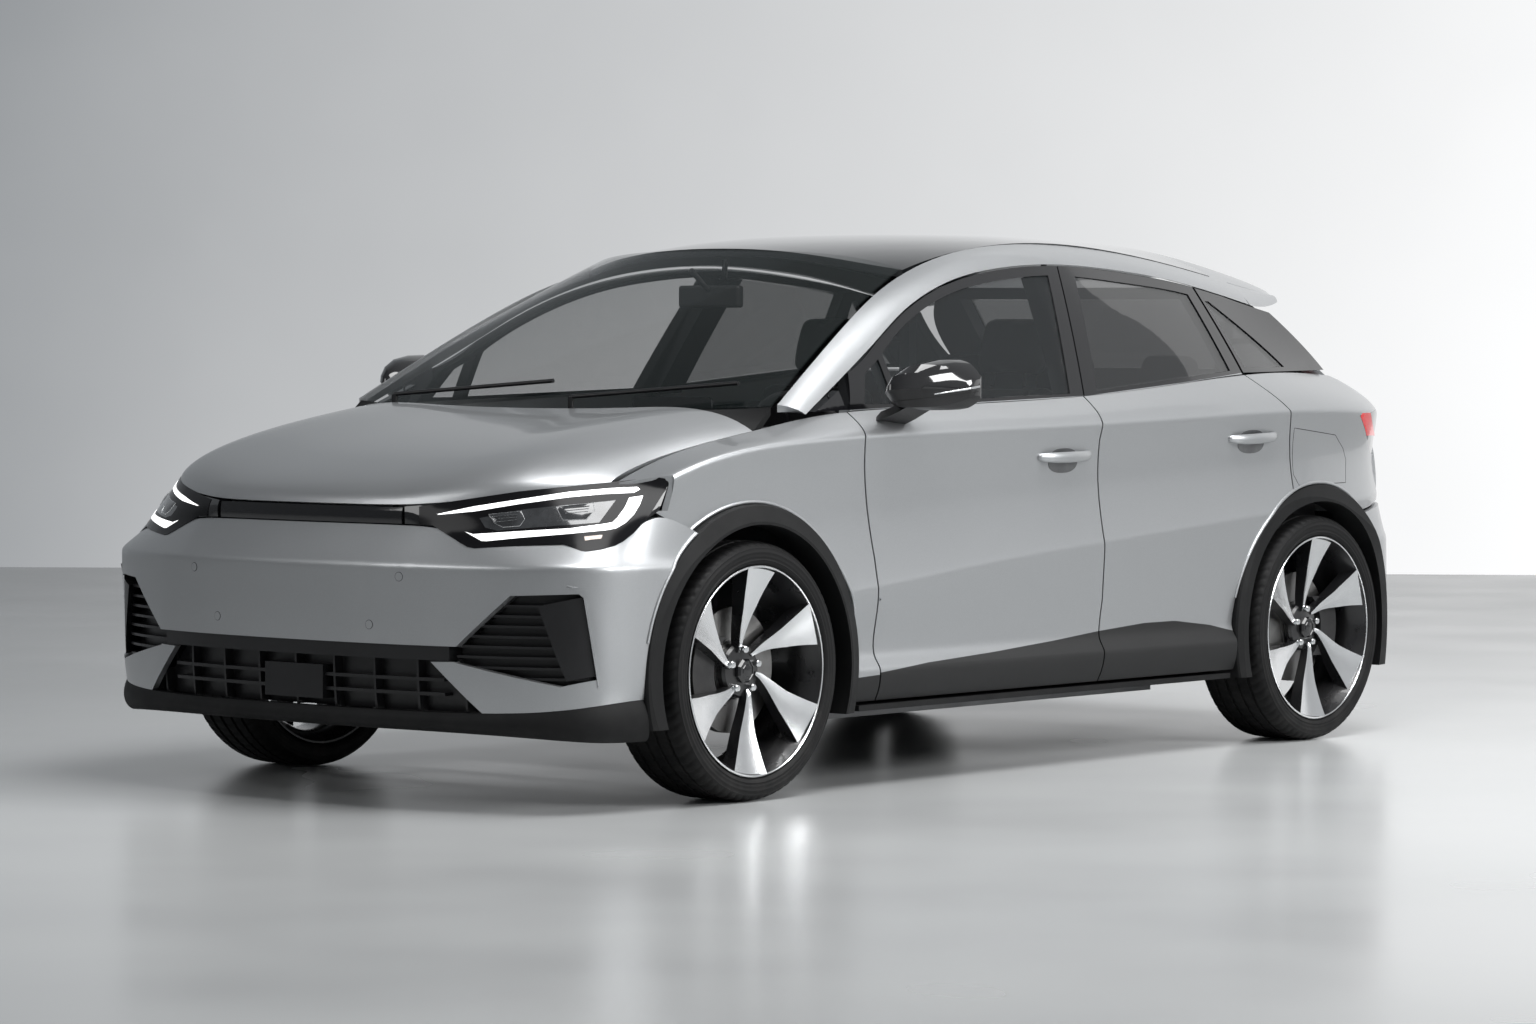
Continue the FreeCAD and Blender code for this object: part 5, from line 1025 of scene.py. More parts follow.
def make_wheel_pair(end, axle):
    """Tread, blades, cap and valve of the two wheels of an axle."""
    body = "wheel_" + end
    centre = (axle, 0, AXLE_HEIGHT)
    machined = make_turned(end + "_machined_face", (0.74, 0.75, 0.76), 0.2, centre, 0.03, 0.5, 0.1)
    corners, faces = tyre_parts(axle)
    treads = place_sides(end + "_tread", corners, faces, TYRE, body, "own", sharp=50)
    corners, faces, which = rim_parts(axle)
    blades = place_sides(end + "_wheel_blades", corners, faces, [RIM_BLACK, machined], body, "own",
                         which=which, sharp=35)
    for pieces, node in ((treads, "tyre"), (blades, "rim")):
        for piece, (label, _) in zip(pieces, SIDES):
            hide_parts("%s_%s_%s" % (end, node, label))
    rows = [[on_wheel(axle, out, radius, 22.5 + 360 * k / CAP_SIDES) for k in range(CAP_SIDES)]
            for radius, out in CAP]
    corners, faces = grid_parts(rows, False, True, True)
    place_sides(end + "_wheel_cap", corners, faces, GLOSS_BLACK, body, "own", sharp=20)
    valve = [on_wheel(axle, out, radius, -4) for radius, out in VALVE]
    corners, faces = tube_parts(valve, [0.0045, 0.0036, 0.0042])
    place_sides(end + "_valve_stem", corners, faces, SATIN, body, "own")


for end, axle in AXLES:
    make_wheel_pair(end, axle)


# Lamps.  Their outlines are drawn in the frame of an enlarged part of the picture.


def enlarged(points, left, top, times):
    """Points of an enlargement, in pixels of the photograph's frame."""
    return [(left + x / times, top + y / times) for x, y in points]


def lamp_frame(points):
    """Places in the enlargement of the left headlamp."""
    return enlarged(points, 420, 465, 6.03)


FRONT_SKIN = skin("headlamps", "front_bumper", "front_wings", "bonnet", "nose_bar")
LAMP_FACE = ((-4, 252), (300, 205), (600, 160), (900, 130), (1120, 108), (1440, 75), (1478, 82), (1492, 112),
             (1488, 135), (1380, 310), (1290, 410), (1225, 462), (1180, 486), (1090, 510), (1000, 525),
             (968, 520), (862, 474), (600, 490), (330, 503), (285, 495), (240, 470), (80, 365), (30, 358),
             (-4, 358))
LIGHT_GUIDES = {
    "upper": ((105, 298), (330, 252), (600, 210), (900, 165), (1160, 143), (1310, 136), (1326, 150),
              (1290, 170), (1100, 179), (900, 197), (600, 237), (330, 281), (118, 301)),
    "outer": ((1262, 200), (1345, 188), (1326, 240), (1290, 300), (1240, 350), (1180, 385), (1110, 398),
              (1135, 372), (1190, 320), (1232, 262)),
    "lower": ((275, 405), (322, 420), (600, 402), (900, 386), (1110, 358), (1180, 345), (1195, 372),
              (1100, 398), (900, 417), (600, 441), (400, 461), (372, 460)),
}
LAMP_LENSES = {
    "inner": ((415, 300), (610, 280), (632, 330), (603, 370), (500, 378), (450, 352)),
    "outer": ((820, 256), (1046, 230), (1050, 280), (1003, 330), (862, 336), (842, 300)),
}
LENS_WELL = ((360, 322), (640, 268), (1120, 222), (1180, 215), (1080, 350), (700, 378), (470, 398),
             (395, 380))
TURN_LAMP = ((990, 434), (1100, 424), (1092, 446), (995, 458))
LENS_RIBS = ((430, 318), (860, 268))


def make_headlamps():
    """Lamp faces with their wells, light guides, lenses and turn lamps, on a smooth skin."""
    tree = smooth_skin(lamp_frame(grown(LAMP_FACE, 1.03)), by_photo, FRONT_SKIN, 4)

    def patch(name, outline, material, *sizes):
        slab(name, lamp_frame(outline), by_photo, tree, material, "body", *sizes)

    def bright_line(name, path, *sizes, **more):
        ribbon(name, lamp_frame(path), by_photo, tree, LAMP_CLEAR, "body", *sizes, **more)

    patch("headlamp_faces", LAMP_FACE, LAMP_BLACK, 4, 0.0016, 0.004)
    patch("lamp_wells", LENS_WELL, LENS_GREY, 6, 0.0021, 0.001)
    for name, outline in LIGHT_GUIDES.items():
        patch(name + "_light_guides", outline, LED_WHITE, 5, 0.0032, 0.0005)
    for name, outline in LAMP_LENSES.items():
        patch(name + "_lamp_lenses", outline, LENS_GREY, 4, 0.0026, 0.001, 0.004)
        bright_line(name + "_lens_frames", outline, 0.0016, 0.0038, 0.001, 3, closed=True)
    patch("turn_lamps", TURN_LAMP, LAMP_AMBER, 5, 0.0024, 0.001)
    for left, top in LENS_RIBS:
        for i in range(3):
            x, y = left + i * 8, top + i * 16
            path = ((x, y), (x + 160 - i * 12, y - 14))
            bright_line("lens_ribs_%d_%d" % (left, i), path, 0.0009, 0.0070, 0.001, 6)


make_headlamps()


# Side of the car


DOOR_SKIN = {end: skin(end + "_door_left") for end, _ in AXLES}
# A handle's bar as (how far rearward of its middle, how far off the door, half its height).
HANDLE = ((-0.128, 0.000, 0.006), (-0.120, 0.010, 0.011), (-0.096, 0.022, 0.014), (-0.060, 0.030, 0.0155),
          (0.0, 0.0325, 0.016), (0.055, 0.0305, 0.0155), (0.094, 0.024, 0.015), (0.120, 0.012, 0.012),
          (0.129, 0.000, 0.007))
CUP_WIDTH = 0.072
CUP_HEIGHT = 0.036
CUP_POINTS = 28


def make_handle(end, middle_back, height, slope):
    """A pull bar over a flat patch of darker paint, the painted shade of a shallow cup."""
    tree = DOOR_SKIN[end]
    body = end + "_door"
    middle = x_of(middle_back)
    cup = []
    for k in range(CUP_POINTS):
        turn = 2 * math.pi * k / CUP_POINTS
        along = CUP_WIDTH * math.copysign(abs(math.cos(turn)) ** 0.8, math.cos(turn))
        up = CUP_HEIGHT * math.copysign(abs(math.sin(turn)) ** 0.8, math.sin(turn))
        cup.append((middle + 0.004 + along, height - 0.004 + up))
    # The cup is not cut into the door: a flat darker patch on the door paints the cup's shade.
    slab(end + "_handle_cup", cup, by_side, tree, CUP_SHADE, body, 0.009, 0.0010, 0.002, side="own")
    rows = []
    for along, off, half in HANDLE:
        point, normal = struck(tree, by_side(middle - along, height + 0.010 + along * slope))
        ring = []
        for k in range(16):
            turn = 2 * math.pi * k / 16
            out = max(off - 0.007, -0.002) + 0.0075 * math.cos(turn)
            ring.append(point + normal * out + Vector((0, 0, half * math.sin(turn))))
        rows.append(ring)
    corners, faces = grid_parts(rows, False, True, True)
    place_sides(end + "_door_handle", corners, faces, PAINT, body, "own", sharp=60)


make_handle("front", 1404, 0.896, 0.02)
make_handle("rear", 2374, 0.938, 0.03)


SIDE_SKIN = skin("front_wings", "rear_wings", "front_bumper", "rear_bumper", "front_door_left",
                 "rear_door_left", "front_skirt", "rear_skirt", "sills")
ARCH_LIP_RADIUS = 0.4535


def make_arch_lips():
    """The thin painted lip that runs round each arch moulding."""
    for name, axle, first, last in (("front", FRONT_AXLE, 12, 172), ("rear", REAR_AXLE, 14, 160)):
        points = []
        for k in range(81):
            turn = math.radians(first + (last - first) * k / 80)
            points.append((axle + math.cos(turn) * ARCH_LIP_RADIUS,
                           AXLE_HEIGHT + math.sin(turn) * ARCH_LIP_RADIUS))
        ribbon(name + "_arch_lips", points, by_side, SIDE_SKIN, PAINT, "body", 0.010, 0.0045, 0.003, 1)


def circle(x, y, radius):
    """A round outline."""
    turns = [math.pi / 12 * k for k in range(24)]
    return [(x + radius * math.cos(turn), y + radius * math.sin(turn)) for turn in turns]


SENSOR_PARTS = (("gap", 0.0125, SATIN, 0.0004), ("cover", 0.0113, PAINT, 0.0010))


def make_sensors(name, places, ray, tree):
    """A painted disc in a thin dark gap at each place."""
    for i, (side, height) in enumerate(places):
        for part, radius, material, lift in SENSOR_PARTS:
            slab("%s_%s_%d" % (name, part, i), circle(side, height, radius), ray, tree, material, "body",
                 0.006, lift, 0.001)


make_sensors("parking_sensor", ((0.382, 0.614), (0.283, 0.485)), by_front, FRONT_SKIN)


# Door mirrors


# The mirror's rear rim in millimetres, from the door outward: how far behind the front axle and how far out it
# is, its foot and its top, and how far its shell reaches forward.
MIRROR_RIM = ((700, 934, 1052, 1146, 172), (710, 962, 1047, 1172, 196), (734, 1004, 1045, 1186, 186),
              (764, 1046, 1052, 1176, 132), (786, 1072, 1076, 1140, 60))
# Its section as shares (how far forward, how far up); the fourth point is the crease.
MIRROR_SECTION = ((0, 0), (0.42, 0.0), (0.76, 0.06), (1, 0.43), (0.985, 0.56), (0.90, 0.74), (0.70, 0.90),
                  (0.36, 0.985), (0, 1))
# The arm as rings of (back, height), each at how far out it is.
MIRROR_ARM = ((872, ((548, 1010), (640, 986), (676, 1004), (590, 1040))),
              (925, ((566, 1030), (676, 1018), (700, 1036), (590, 1058))),
              (965, ((584, 1052), (712, 1052), (716, 1078), (600, 1080))))
MIRROR_PICTURE = (780, 330, 7.13)
MIRROR_SLIT = ((1100, 458), (1200, 442), (1330, 422), (1425, 402))
MIRROR_SEAM = ((800, 512), (1000, 490), (1250, 460), (1430, 436))
MIRROR_GLASS = ((0.946, 1.064), (0.952, 1.128), (0.978, 1.154), (1.010, 1.168), (1.040, 1.160),
                (1.062, 1.132), (1.062, 1.092), (1.040, 1.066), (1.000, 1.056))


def between_stations(table, place):
    """A smooth value between the rows of a table; place runs from 0 to its last row."""
    first = min(int(place), len(table) - 2)
    part = place - first
    a, b, c, d = (table[min(max(first + i, 0), len(table) - 1)] for i in (-1, 0, 1, 2))
    return [q + 0.5 * part * (r - p + part * (2 * p - 5 * q + 4 * r - s + part * (3 * (q - r) + s - p)))
            for p, q, r, s in zip(a, b, c, d)]


def mirror_parts():
    """The left mirror's shell, closed at its outer end."""
    rows = []
    for i in range(25):
        back, side, low, high, reach = between_stations(MIRROR_RIM, i / 6)
        rows.append([Vector((x_of(back - reach * forward), side / 1000, (low + (high - low) * share) / 1000))
                     for forward, share in MIRROR_SECTION])
    end = sum(rows[-1], Vector()) / len(rows[-1])
    rows.append([end.lerp(corner, 0.72) + Vector((0, 0.004, 0)) for corner in rows[-1]])
    return grid_parts(rows, False, True, True)


def make_mirrors():
    """Shells with their arms, turn lamps, seams and glass."""
    corners, faces = mirror_parts()
    wide = len(MIRROR_SECTION)
    which = [0 if 3 <= k % wide else 1 for k in range(len(faces) - 2)] + [0, 0]
    tree = BVHTree.FromPolygons(corners, faces)
    body = "front_door"
    shells = place_sides("mirror_shells", corners, faces, [GLOSS_BLACK, SATIN], body, "own", which=which,
                         sharp=24)
    for piece, (label, _) in zip(shells, SIDES):
        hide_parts("door_mirror_" + label)
    rows = [[Vector((x, side / 1000, z)) for x, z in line_places(ring)] for side, ring in MIRROR_ARM]
    corners, faces = grid_parts(rows, False, True, True)
    place_sides("mirror_arms", corners, faces, SATIN, body, "own", sharp=30)
    slit, seam = enlarged(MIRROR_SLIT, *MIRROR_PICTURE), enlarged(MIRROR_SEAM, *MIRROR_PICTURE)
    ribbon("mirror_turn_lamps", slit, by_photo, tree, LAMP_CLEAR, body, (0.0035, 0.0060), 0.0012, 0.002, 3,
           side="own")
    ribbon("mirror_seams", seam, by_photo, tree, SEAL, body, 0.0018, 0.0006, 0.002, 3, side="own")
    slab("mirror_glass_face", MIRROR_GLASS, by_rear, tree, MIRROR_FACE, body, 0.012, 0.0012, 0.002, side="own")


make_mirrors()
make_arch_lips()


# Lower front.  Its outlines are drawn in the frame of an enlarged part of the picture too.


def nose_frame(points):
    """Places in the enlargement of the nose."""
    return enlarged(points, 120, 560, 3.136)


INTAKE_EDGE = ((1265, 115), (1425, 105), (1455, 120), (1478, 260), (1500, 400))
INTAKE_SURROUND = ((1400, 88), (1510, 84), (1552, 120), (1590, 390), (1500, 405), (1478, 260), (1455, 120),
                   (1425, 105), (1402, 106))


def make_lower_front():
    """The painted surrounds of the side intakes and their bright edges."""
    tree = smooth_skin(nose_frame(grown(INTAKE_SURROUND, 1.1)), by_photo, skin("front_bumper"), 3)
    slab("intake_surrounds", nose_frame(INTAKE_SURROUND), by_photo, tree, PAINT, "body", 4, 0.0014, 0.004)
    ribbon("intake_edges", nose_frame(INTAKE_EDGE), by_photo, tree, CHROME_LINE, "body", 0.004, 0.0028,
           0.003, 3)


make_lower_front()


# Seats.  Each pad is swollen as a stuffed cover, then its seams are drawn in.


PAD_VOXEL = 0.012
PAD_FRAMES = 20
PAD_PRESSURE = 4
FLOOR_TOP = 0.336
FRONT_SEAT_X = x_of(1420)
BENCH_X = x_of(2230)
FRONT_SEATS = (("left", 0.36), ("right", -0.36))
BENCH_SEATS = (("left", 0.4), ("middle", 0), ("right", -0.4))
# How far out the seams that run along a seat lie.
CUSHION_SEAM = 0.145
BACK_SEAM = 0.135
BENCH_SEAMS = (0.12, 0.47)
SIDE_SEAM = (0.005, 0.004)


def evaluated(obj):
    """A plain mesh of the object as its modifiers leave it."""
    graph = bpy.context.evaluated_depsgraph_get()
    return bpy.data.meshes.new_from_object(obj.evaluated_get(graph), depsgraph=graph)


def pad_form(name, size, edge, shape):
    """A rounded block with small even faces, bent by shape."""
    mesh = bpy.data.meshes.new(name)
    form = bmesh.new()
    bmesh.ops.create_cube(form, size=1)
    for corner in form.verts:
        corner.co = Vector(a * b for a, b in zip(corner.co, size))
    bmesh.ops.bevel(form, geom=form.edges[:], offset=edge, segments=4, profile=0.5, affect="EDGES")
    form.to_mesh(mesh)
    form.free()
    obj = bpy.data.objects.new(name, mesh)
    bpy.context.scene.collection.objects.link(obj)
    remesh = obj.modifiers.new("even", "REMESH")
    remesh.mode = "VOXEL"
    remesh.voxel_size = PAD_VOXEL
    obj.data = evaluated(obj)
    obj.modifiers.clear()
    for corner in obj.data.vertices:
        corner.co = shape(corner.co)
    return obj


def swell(obj, cap):
    """Fills the pad as pressure fills a sewn cover, with each corner moved no further than a cap."""
    start = [corner.co.copy() for corner in obj.data.vertices]
    cloth = obj.modifiers.new("swell", "CLOTH")
    cloth.settings.use_pressure = True
    cloth.settings.uniform_pressure_force = PAD_PRESSURE
    cloth.settings.effector_weights.gravity = 0
    cloth.point_cache.frame_start, cloth.point_cache.frame_end = 1, PAD_FRAMES
    for step in range(1, PAD_FRAMES + 1):
        bpy.context.scene.frame_set(step)
    full = evaluated(obj)
    obj.modifiers.clear()
    bpy.context.scene.frame_set(1)
    for corner, before, after in zip(obj.data.vertices, start, full.vertices):
        move = after.co - before
        corner.co = before + move * min(1, cap / max(move.length, 1e-9))


def groove(distance, width=0.007, depth=0.007):
    """How deep a seam pulls the cover in at a distance from it."""
    return depth * math.exp(-(distance / width) ** 2)


def pad(name, size, edge, shape, seams, hide, cap, turn, places, node):
    """One stuffed pad in each of its places; hide says which faces have the second cover."""
    obj = pad_form(name, size, edge, shape)
    swell(obj, cap)
    obj.modifiers.new("finer", "SUBSURF").levels = 1
    mesh = evaluated(obj)
    bpy.data.objects.remove(obj)
    corners = [corner.co - corner.normal * seams(corner.co, corner.normal) for corner in mesh.vertices]
    faces = [list(face.vertices) for face in mesh.polygons]
    which = [1 if hide(face.center) else 0 for face in mesh.polygons]
    tilt = Matrix.Rotation(math.radians(turn), 3, "Y")
    for label, place in places:
        piece = new_piece("%s_%s" % (name, label), [tilt @ c + Vector(place) for c in corners], faces,
                          [CLOTH, BOLSTER_HIDE], "body", which, 180)
        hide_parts(node)


def seat_cushion(c):
    """Sides raised as bolsters, a hollow between them and a rounded front edge."""
    side = abs(c.y) / 0.24
    rise = 0.018 * max(0, side - 0.55) / 0.45 - 0.012 * (1 - side ** 2) * (c.z > 0)
    waist = 1 - 0.02 * math.cos(math.pi * c.x / 0.52)
    drop = -0.018 * max(0, c.x / 0.25) ** 2
    return Vector((c.x, c.y * waist, c.z + (rise + drop if c.z > 0 else 0)))


def seat_cushion_seams(c, n):
    """A seam round the sides, one along each bolster and four across."""
    if n.z < 0.2:
        return groove(c.z + 0.02, *SIDE_SEAM)
    cut = groove(abs(c.y) - CUSHION_SEAM)
    if abs(c.y) < CUSHION_SEAM:
        cut = max(cut, *(groove(c.x - x) for x in (-0.12, -0.03, 0.06, 0.15)))
    return cut


def seat_back(c):
    """Narrower at the shoulders, with bolsters beside a hollow."""
    side = abs(c.y) / 0.23
    narrow = 1 - 0.16 * max(0, c.z / 0.31) ** 2 - 0.03 * max(0, -c.z / 0.31) ** 2
    rise = (0.014 * max(0, side - 0.5) / 0.5 - 0.010 * (1 - side ** 2)) if c.x > 0 else 0
    return Vector((c.x + rise, c.y * narrow, c.z))


def seat_back_seams(c, n):
    """A seam round the sides, one along each bolster and four across."""
    if n.x < 0.2:
        return groove(c.x + 0.02, *SIDE_SEAM) if n.x > -0.7 else 0
    edge = BACK_SEAM - 0.03 * max(0, c.z / 0.31) ** 2
    cut = groove(abs(c.y) - edge)
    if abs(c.y) < edge:
        cut = max(cut, *(groove(c.z - z) for z in (-0.17, -0.06, 0.05, 0.16)))
    return cut


def head_rest(c):
    """Thicker and a little narrower at its top."""
    return Vector((c.x * (1 + 0.15 * c.z / 0.09), c.y * (1 - 0.10 * max(0, c.z / 0.09)), c.z))


def head_rest_seams(c, n):
    """One seam round the middle, whichever way the cover faces."""
    return groove(c.x, *SIDE_SEAM)


def bench_cushion(c):
    """A hollow for each outer place and a rounded front edge."""
    if c.z <= 0:
        return c.copy()
    drop = -0.012 * max(0, c.x / 0.24) ** 2
    hollow = -0.010 * math.cos(math.pi * (abs(c.y) - 0.3) / 0.6)
    return Vector((c.x, c.y, c.z + (drop + hollow)))


def bench_seams(along, across):
    """Seams that part the three places, and three across each outer one."""
    inner, outer = BENCH_SEAMS
    cut = max(groove(abs(across) - inner), groove(abs(across) - outer))
    if inner < abs(across) < outer:
        cut = max(cut, *(groove(along - x) for x in (-0.12, 0.0, 0.12)))
    return cut


def leaned(foot_x, foot_z, lean, reach):
    """The x and z of a place this far up from a foot, on a line that leans back."""
    turn = math.radians(lean)
    return foot_x - math.sin(turn) * reach, foot_z + math.cos(turn) * reach


def spread_out(x, z, seats):
    """A pad's place at each seat of a row."""
    return [(label, (x, y, z)) for label, y in seats]


def make_front_seats():
    """Cushion, back and head rest of both front seats."""
    cushions = spread_out(FRONT_SEAT_X, FLOOR_TOP + 0.195, FRONT_SEATS)
    pad("seat_cushion", (0.500, 0.482, 0.135), 0.045, seat_cushion, seat_cushion_seams,
        lambda c: abs(c.y) > CUSHION_SEAM or c.z < 0, 0.010, 0, cushions, "front_seats")
    x, z = leaned(FRONT_SEAT_X - 0.24, FLOOR_TOP + 0.19, 20, 0.31)
    pad("seat_back", (0.100, 0.462, 0.600), 0.040, seat_back, seat_back_seams,
        lambda c: abs(c.y) > BACK_SEAM or c.x < 0, 0.010, -20, spread_out(x, z, FRONT_SEATS), "front_seats")
    x, z = leaned(FRONT_SEAT_X - 0.462, FLOOR_TOP + 0.79, 16, 0.095)
    pad("head_rest", (0.076, 0.245, 0.175), 0.034, head_rest, head_rest_seams,
        lambda c: abs(c.y) > 0.085, 0.007, -16, spread_out(x, z, FRONT_SEATS), "front_seats")


def make_bench():
    """Cushion, back and three head rests of the rear bench."""
    low, high = 0.455, FLOOR_TOP + 0.24
    pad("bench_cushion", (0.480, 1.176, high - low - 0.012), 0.045, bench_cushion,
        lambda c, n: bench_seams(c.x, c.y) if n.z > 0.2 else 0,
        lambda c: abs(c.y) > BENCH_SEAMS[1] or c.z < 0, 0.010, 0, [("row", (BENCH_X, 0, (low + high) / 2))],
        "rear_bench")
    x, z = leaned(BENCH_X - 0.21, FLOOR_TOP + 0.19, 22, 0.28)
    pad("bench_back", (0.100, 1.176, 0.540), 0.040, lambda c: c.copy(),
        lambda c, n: bench_seams(c.z, c.y) if n.x > 0.2 else 0,
        lambda c: abs(c.y) > BENCH_SEAMS[1] or c.x < 0, 0.010, -22, [("row", (x, 0, z))], "rear_bench")
    x, z = leaned(BENCH_X - 0.416, FLOOR_TOP + 0.718, 18, 0.075)
    pad("rear_head_rest", (0.068, 0.206, 0.138), 0.030, head_rest, head_rest_seams,
        lambda c: abs(c.y) > 0.07, 0.006, -18, spread_out(x, z, BENCH_SEATS), "rear_bench")


# Steps in a quarter turn of a rounded corner.
CORNER_STEPS = 4


def rounded_box(x0, x1, y0, y1, z0, z1, edge):
    """A block with rounded upright edges and eased top and bottom."""
    ring = []
    for cx, cy, first in ((x1 - edge, y1 - edge, 0), (x0 + edge, y1 - edge, 90), (x0 + edge, y0 + edge, 180),
                          (x1 - edge, y0 + edge, 270)):
        for k in range(CORNER_STEPS + 1):
            turn = math.radians(first + 90 * k / CORNER_STEPS)
            ring.append((cx + edge * math.cos(turn), cy + edge * math.sin(turn)))
    middle = Vector(((x0 + x1) / 2, (y0 + y1) / 2))
    ease = min(edge, (z1 - z0) / 2) * 0.35
    rows = []
    for z, inset in ((z0, ease), (z0 + ease, 0), (z1 - ease, 0), (z1, ease)):
        row = []
        for x, y in ring:
            way = Vector((x, y)) - middle
            shorter = way * max(0, 1 - inset / way.length)
            row.append(Vector((middle.x + shorter.x, middle.y + shorter.y, z)))
        rows.append(row)
    return grid_parts(rows, False, True, True)


def make_seat_frames():
    """Plinths, runners, head rest posts and side trims under the pads."""
    x, floor = FRONT_SEAT_X, FLOOR_TOP
    parts = [rounded_box(x - 0.20, x + 0.20, 0.17, 0.55, floor + 0.03, floor + 0.135, 0.03)]
    for y in (0.20, 0.52):
        parts.append(rounded_box(x - 0.24, x + 0.22, y - 0.018, y + 0.018, floor + 0.0005, floor + 0.03,
                                 0.006))
    for y in (0.30, 0.42):
        parts.append(tube_parts([Vector((x - 0.452, y, 1.100)), Vector((x - 0.475, y, 1.190))], 0.006))
    for y in (0.105, 0.598):
        parts.append(rounded_box(x - 0.22, x + 0.16, y, y + 0.017, floor + 0.10, floor + 0.185, 0.008))
    corners, faces = joined(parts)
    piece = place_sides("seat_frames", corners, faces, TRIM, "body")[0]
    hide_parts("front_seats")
    x = BENCH_X
    parts = [rounded_box(x - 0.06, x + 0.20, -0.56, 0.56, floor + 0.0005, floor + 0.125, 0.03)]
    for middle in (-0.4, 0, 0.4):
        for y in (middle - 0.05, middle + 0.05):
            parts.append(tube_parts([Vector((x - 0.40, y, 1.03)), Vector((x - 0.428, y, 1.10))], 0.006))
    corners, faces = joined(parts)
    piece = new_piece("bench_frame", corners, faces, TRIM, "body")
    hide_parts("rear_bench")


make_front_seats()
make_bench()
make_seat_frames()


# Cabin


def display_parts(middle, wide, tall, thick, edge, lean):
    """A rounded upright panel that faces the rear and leans forward at its top."""
    rows = []
    for off, inset in ((0, 0), (thick * 0.8, 0), (thick, thick * 0.3)):
        row = []
        for cy, cz, first in ((1, 1, 0), (-1, 1, 90), (-1, -1, 180), (1, -1, 270)):
            for k in range(CORNER_STEPS + 1):
                turn = math.radians(first + 90 * k / CORNER_STEPS)
                y = cy * (wide / 2 - edge) + (edge - inset) * math.cos(turn)
                z = cz * (tall / 2 - edge) + (edge - inset) * math.sin(turn)
                row.append(Vector((-off + z * math.tan(math.radians(lean)), y, z)) + Vector(middle))
        rows.append(row)
    return grid_parts(rows, False, True, True)


def by_cabin(x, z):
    """A line from the middle of the cabin out to its left side."""
    return Vector((x, 0, z)), Vector((0, 1, 0))


def by_seat(y, z):
    """A line from the front seats to the dashboard."""
    return Vector((0.2, y, z)), Vector((1, 0, 0))


DOOR_CARDS = {
    "front": ((0.80, 0.44), (0.82, 0.70), (0.72, 0.95), (0.40, 0.985), (-0.10, 1.005), (-0.14, 0.80),
              (-0.13, 0.44)),
    "rear": ((-0.33, 0.46), (-0.34, 0.80), (-0.32, 1.015), (-0.80, 1.040), (-1.00, 1.03), (-0.97, 0.86),
             (-0.88, 0.62), (-0.84, 0.46)),
}
ARM_RESTS = {
    "front": ((0.46, 0.735), (0.30, 0.755), (0.05, 0.765), (-0.08, 0.760)),
    "rear": ((-0.42, 0.775), (-0.58, 0.790), (-0.80, 0.795)),
}
ARM_REST_RADII = (0.012, 0.024)
ARM_REST_OFF = 0.026
DASH_VENT = ((0.20, 0.915), (0.62, 0.915), (0.62, 0.940), (0.20, 0.940))


def make_dash():
    """Two displays, and the vents with their blades over a bright line."""
    for name, sizes in (("centre_screen", ((0.612, 0.0, 0.985), 0.30, 0.170, 0.012, 0.012, 8)),
                        ("driver_display", ((0.668, 0.36, 1.005), 0.22, 0.085, 0.014, 0.010, 14))):
        corners, faces = display_parts(*sizes)
        new_piece(name, corners, faces, GLOSS_BLACK, "body", sharp=30)
    dash = skin("dashboard")
    slab("dash_vents", DASH_VENT, by_seat, dash, SATIN, "body", 0.02, 0.0015, 0.003)
    for i, z in enumerate((0.921, 0.928, 0.935)):
        ribbon("vent_blades_%d" % i, ((0.21, z), (0.61, z)), by_seat, dash, CHROME_LINE, "body", 0.0022,
               0.0030, 0.002, 0.05)
    ribbon("dash_trim_line", ((0.0, 0.890), (0.66, 0.890)), by_seat, dash, BRIGHT, "body", 0.006, 0.0020,
           0.002, 0.05)


def make_door_trim(end):
    """A door's inner card and its arm rest."""
    tree, body = DOOR_SKIN[end], end + "_door"
    slab(end + "_door_card", DOOR_CARDS[end], by_cabin, tree, TRIM, body, 0.035, 0.0045, 0.001, side="own")
    points = [struck(tree, by_cabin(*place))[0] - Vector((0, ARM_REST_OFF, 0))
              for place in stepped(ARM_RESTS[end], 0.03, False)]
    thin, thick = ARM_REST_RADII
    corners, faces = tube_parts(points, [thin] + [thick] * (len(points) - 2) + [thin], 16)
    place_sides(end + "_arm_rest", corners, faces, BOLSTER_HIDE, body, "own", sharp=60)


make_dash()
make_door_trim("front")
make_door_trim("rear")


# Tail


def tail_frame(points):
    """Places in the enlargement of the tail."""
    return enlarged(points, 1180, 280, 3.733)


TAIL_BLOCK = ((640, 500), (710, 495), (725, 580), (690, 580), (650, 520))
GATE_LAMP = ((0.500, 0.958), (0.600, 0.925), (0.762, 0.893), (0.762, 1.018), (0.640, 1.012), (0.520, 0.985))
GATE_BAR = ((0.530, 0.972), (0.620, 0.985), (0.755, 0.992))
PLATE = ((0.0, 0.795), (0.265, 0.795), (0.280, 0.812), (0.262, 0.905), (0.245, 0.915), (0.0, 0.915))
REFLECTOR = ((0.600, 0.462), (0.800, 0.462), (0.815, 0.474), (0.805, 0.487), (0.600, 0.487))


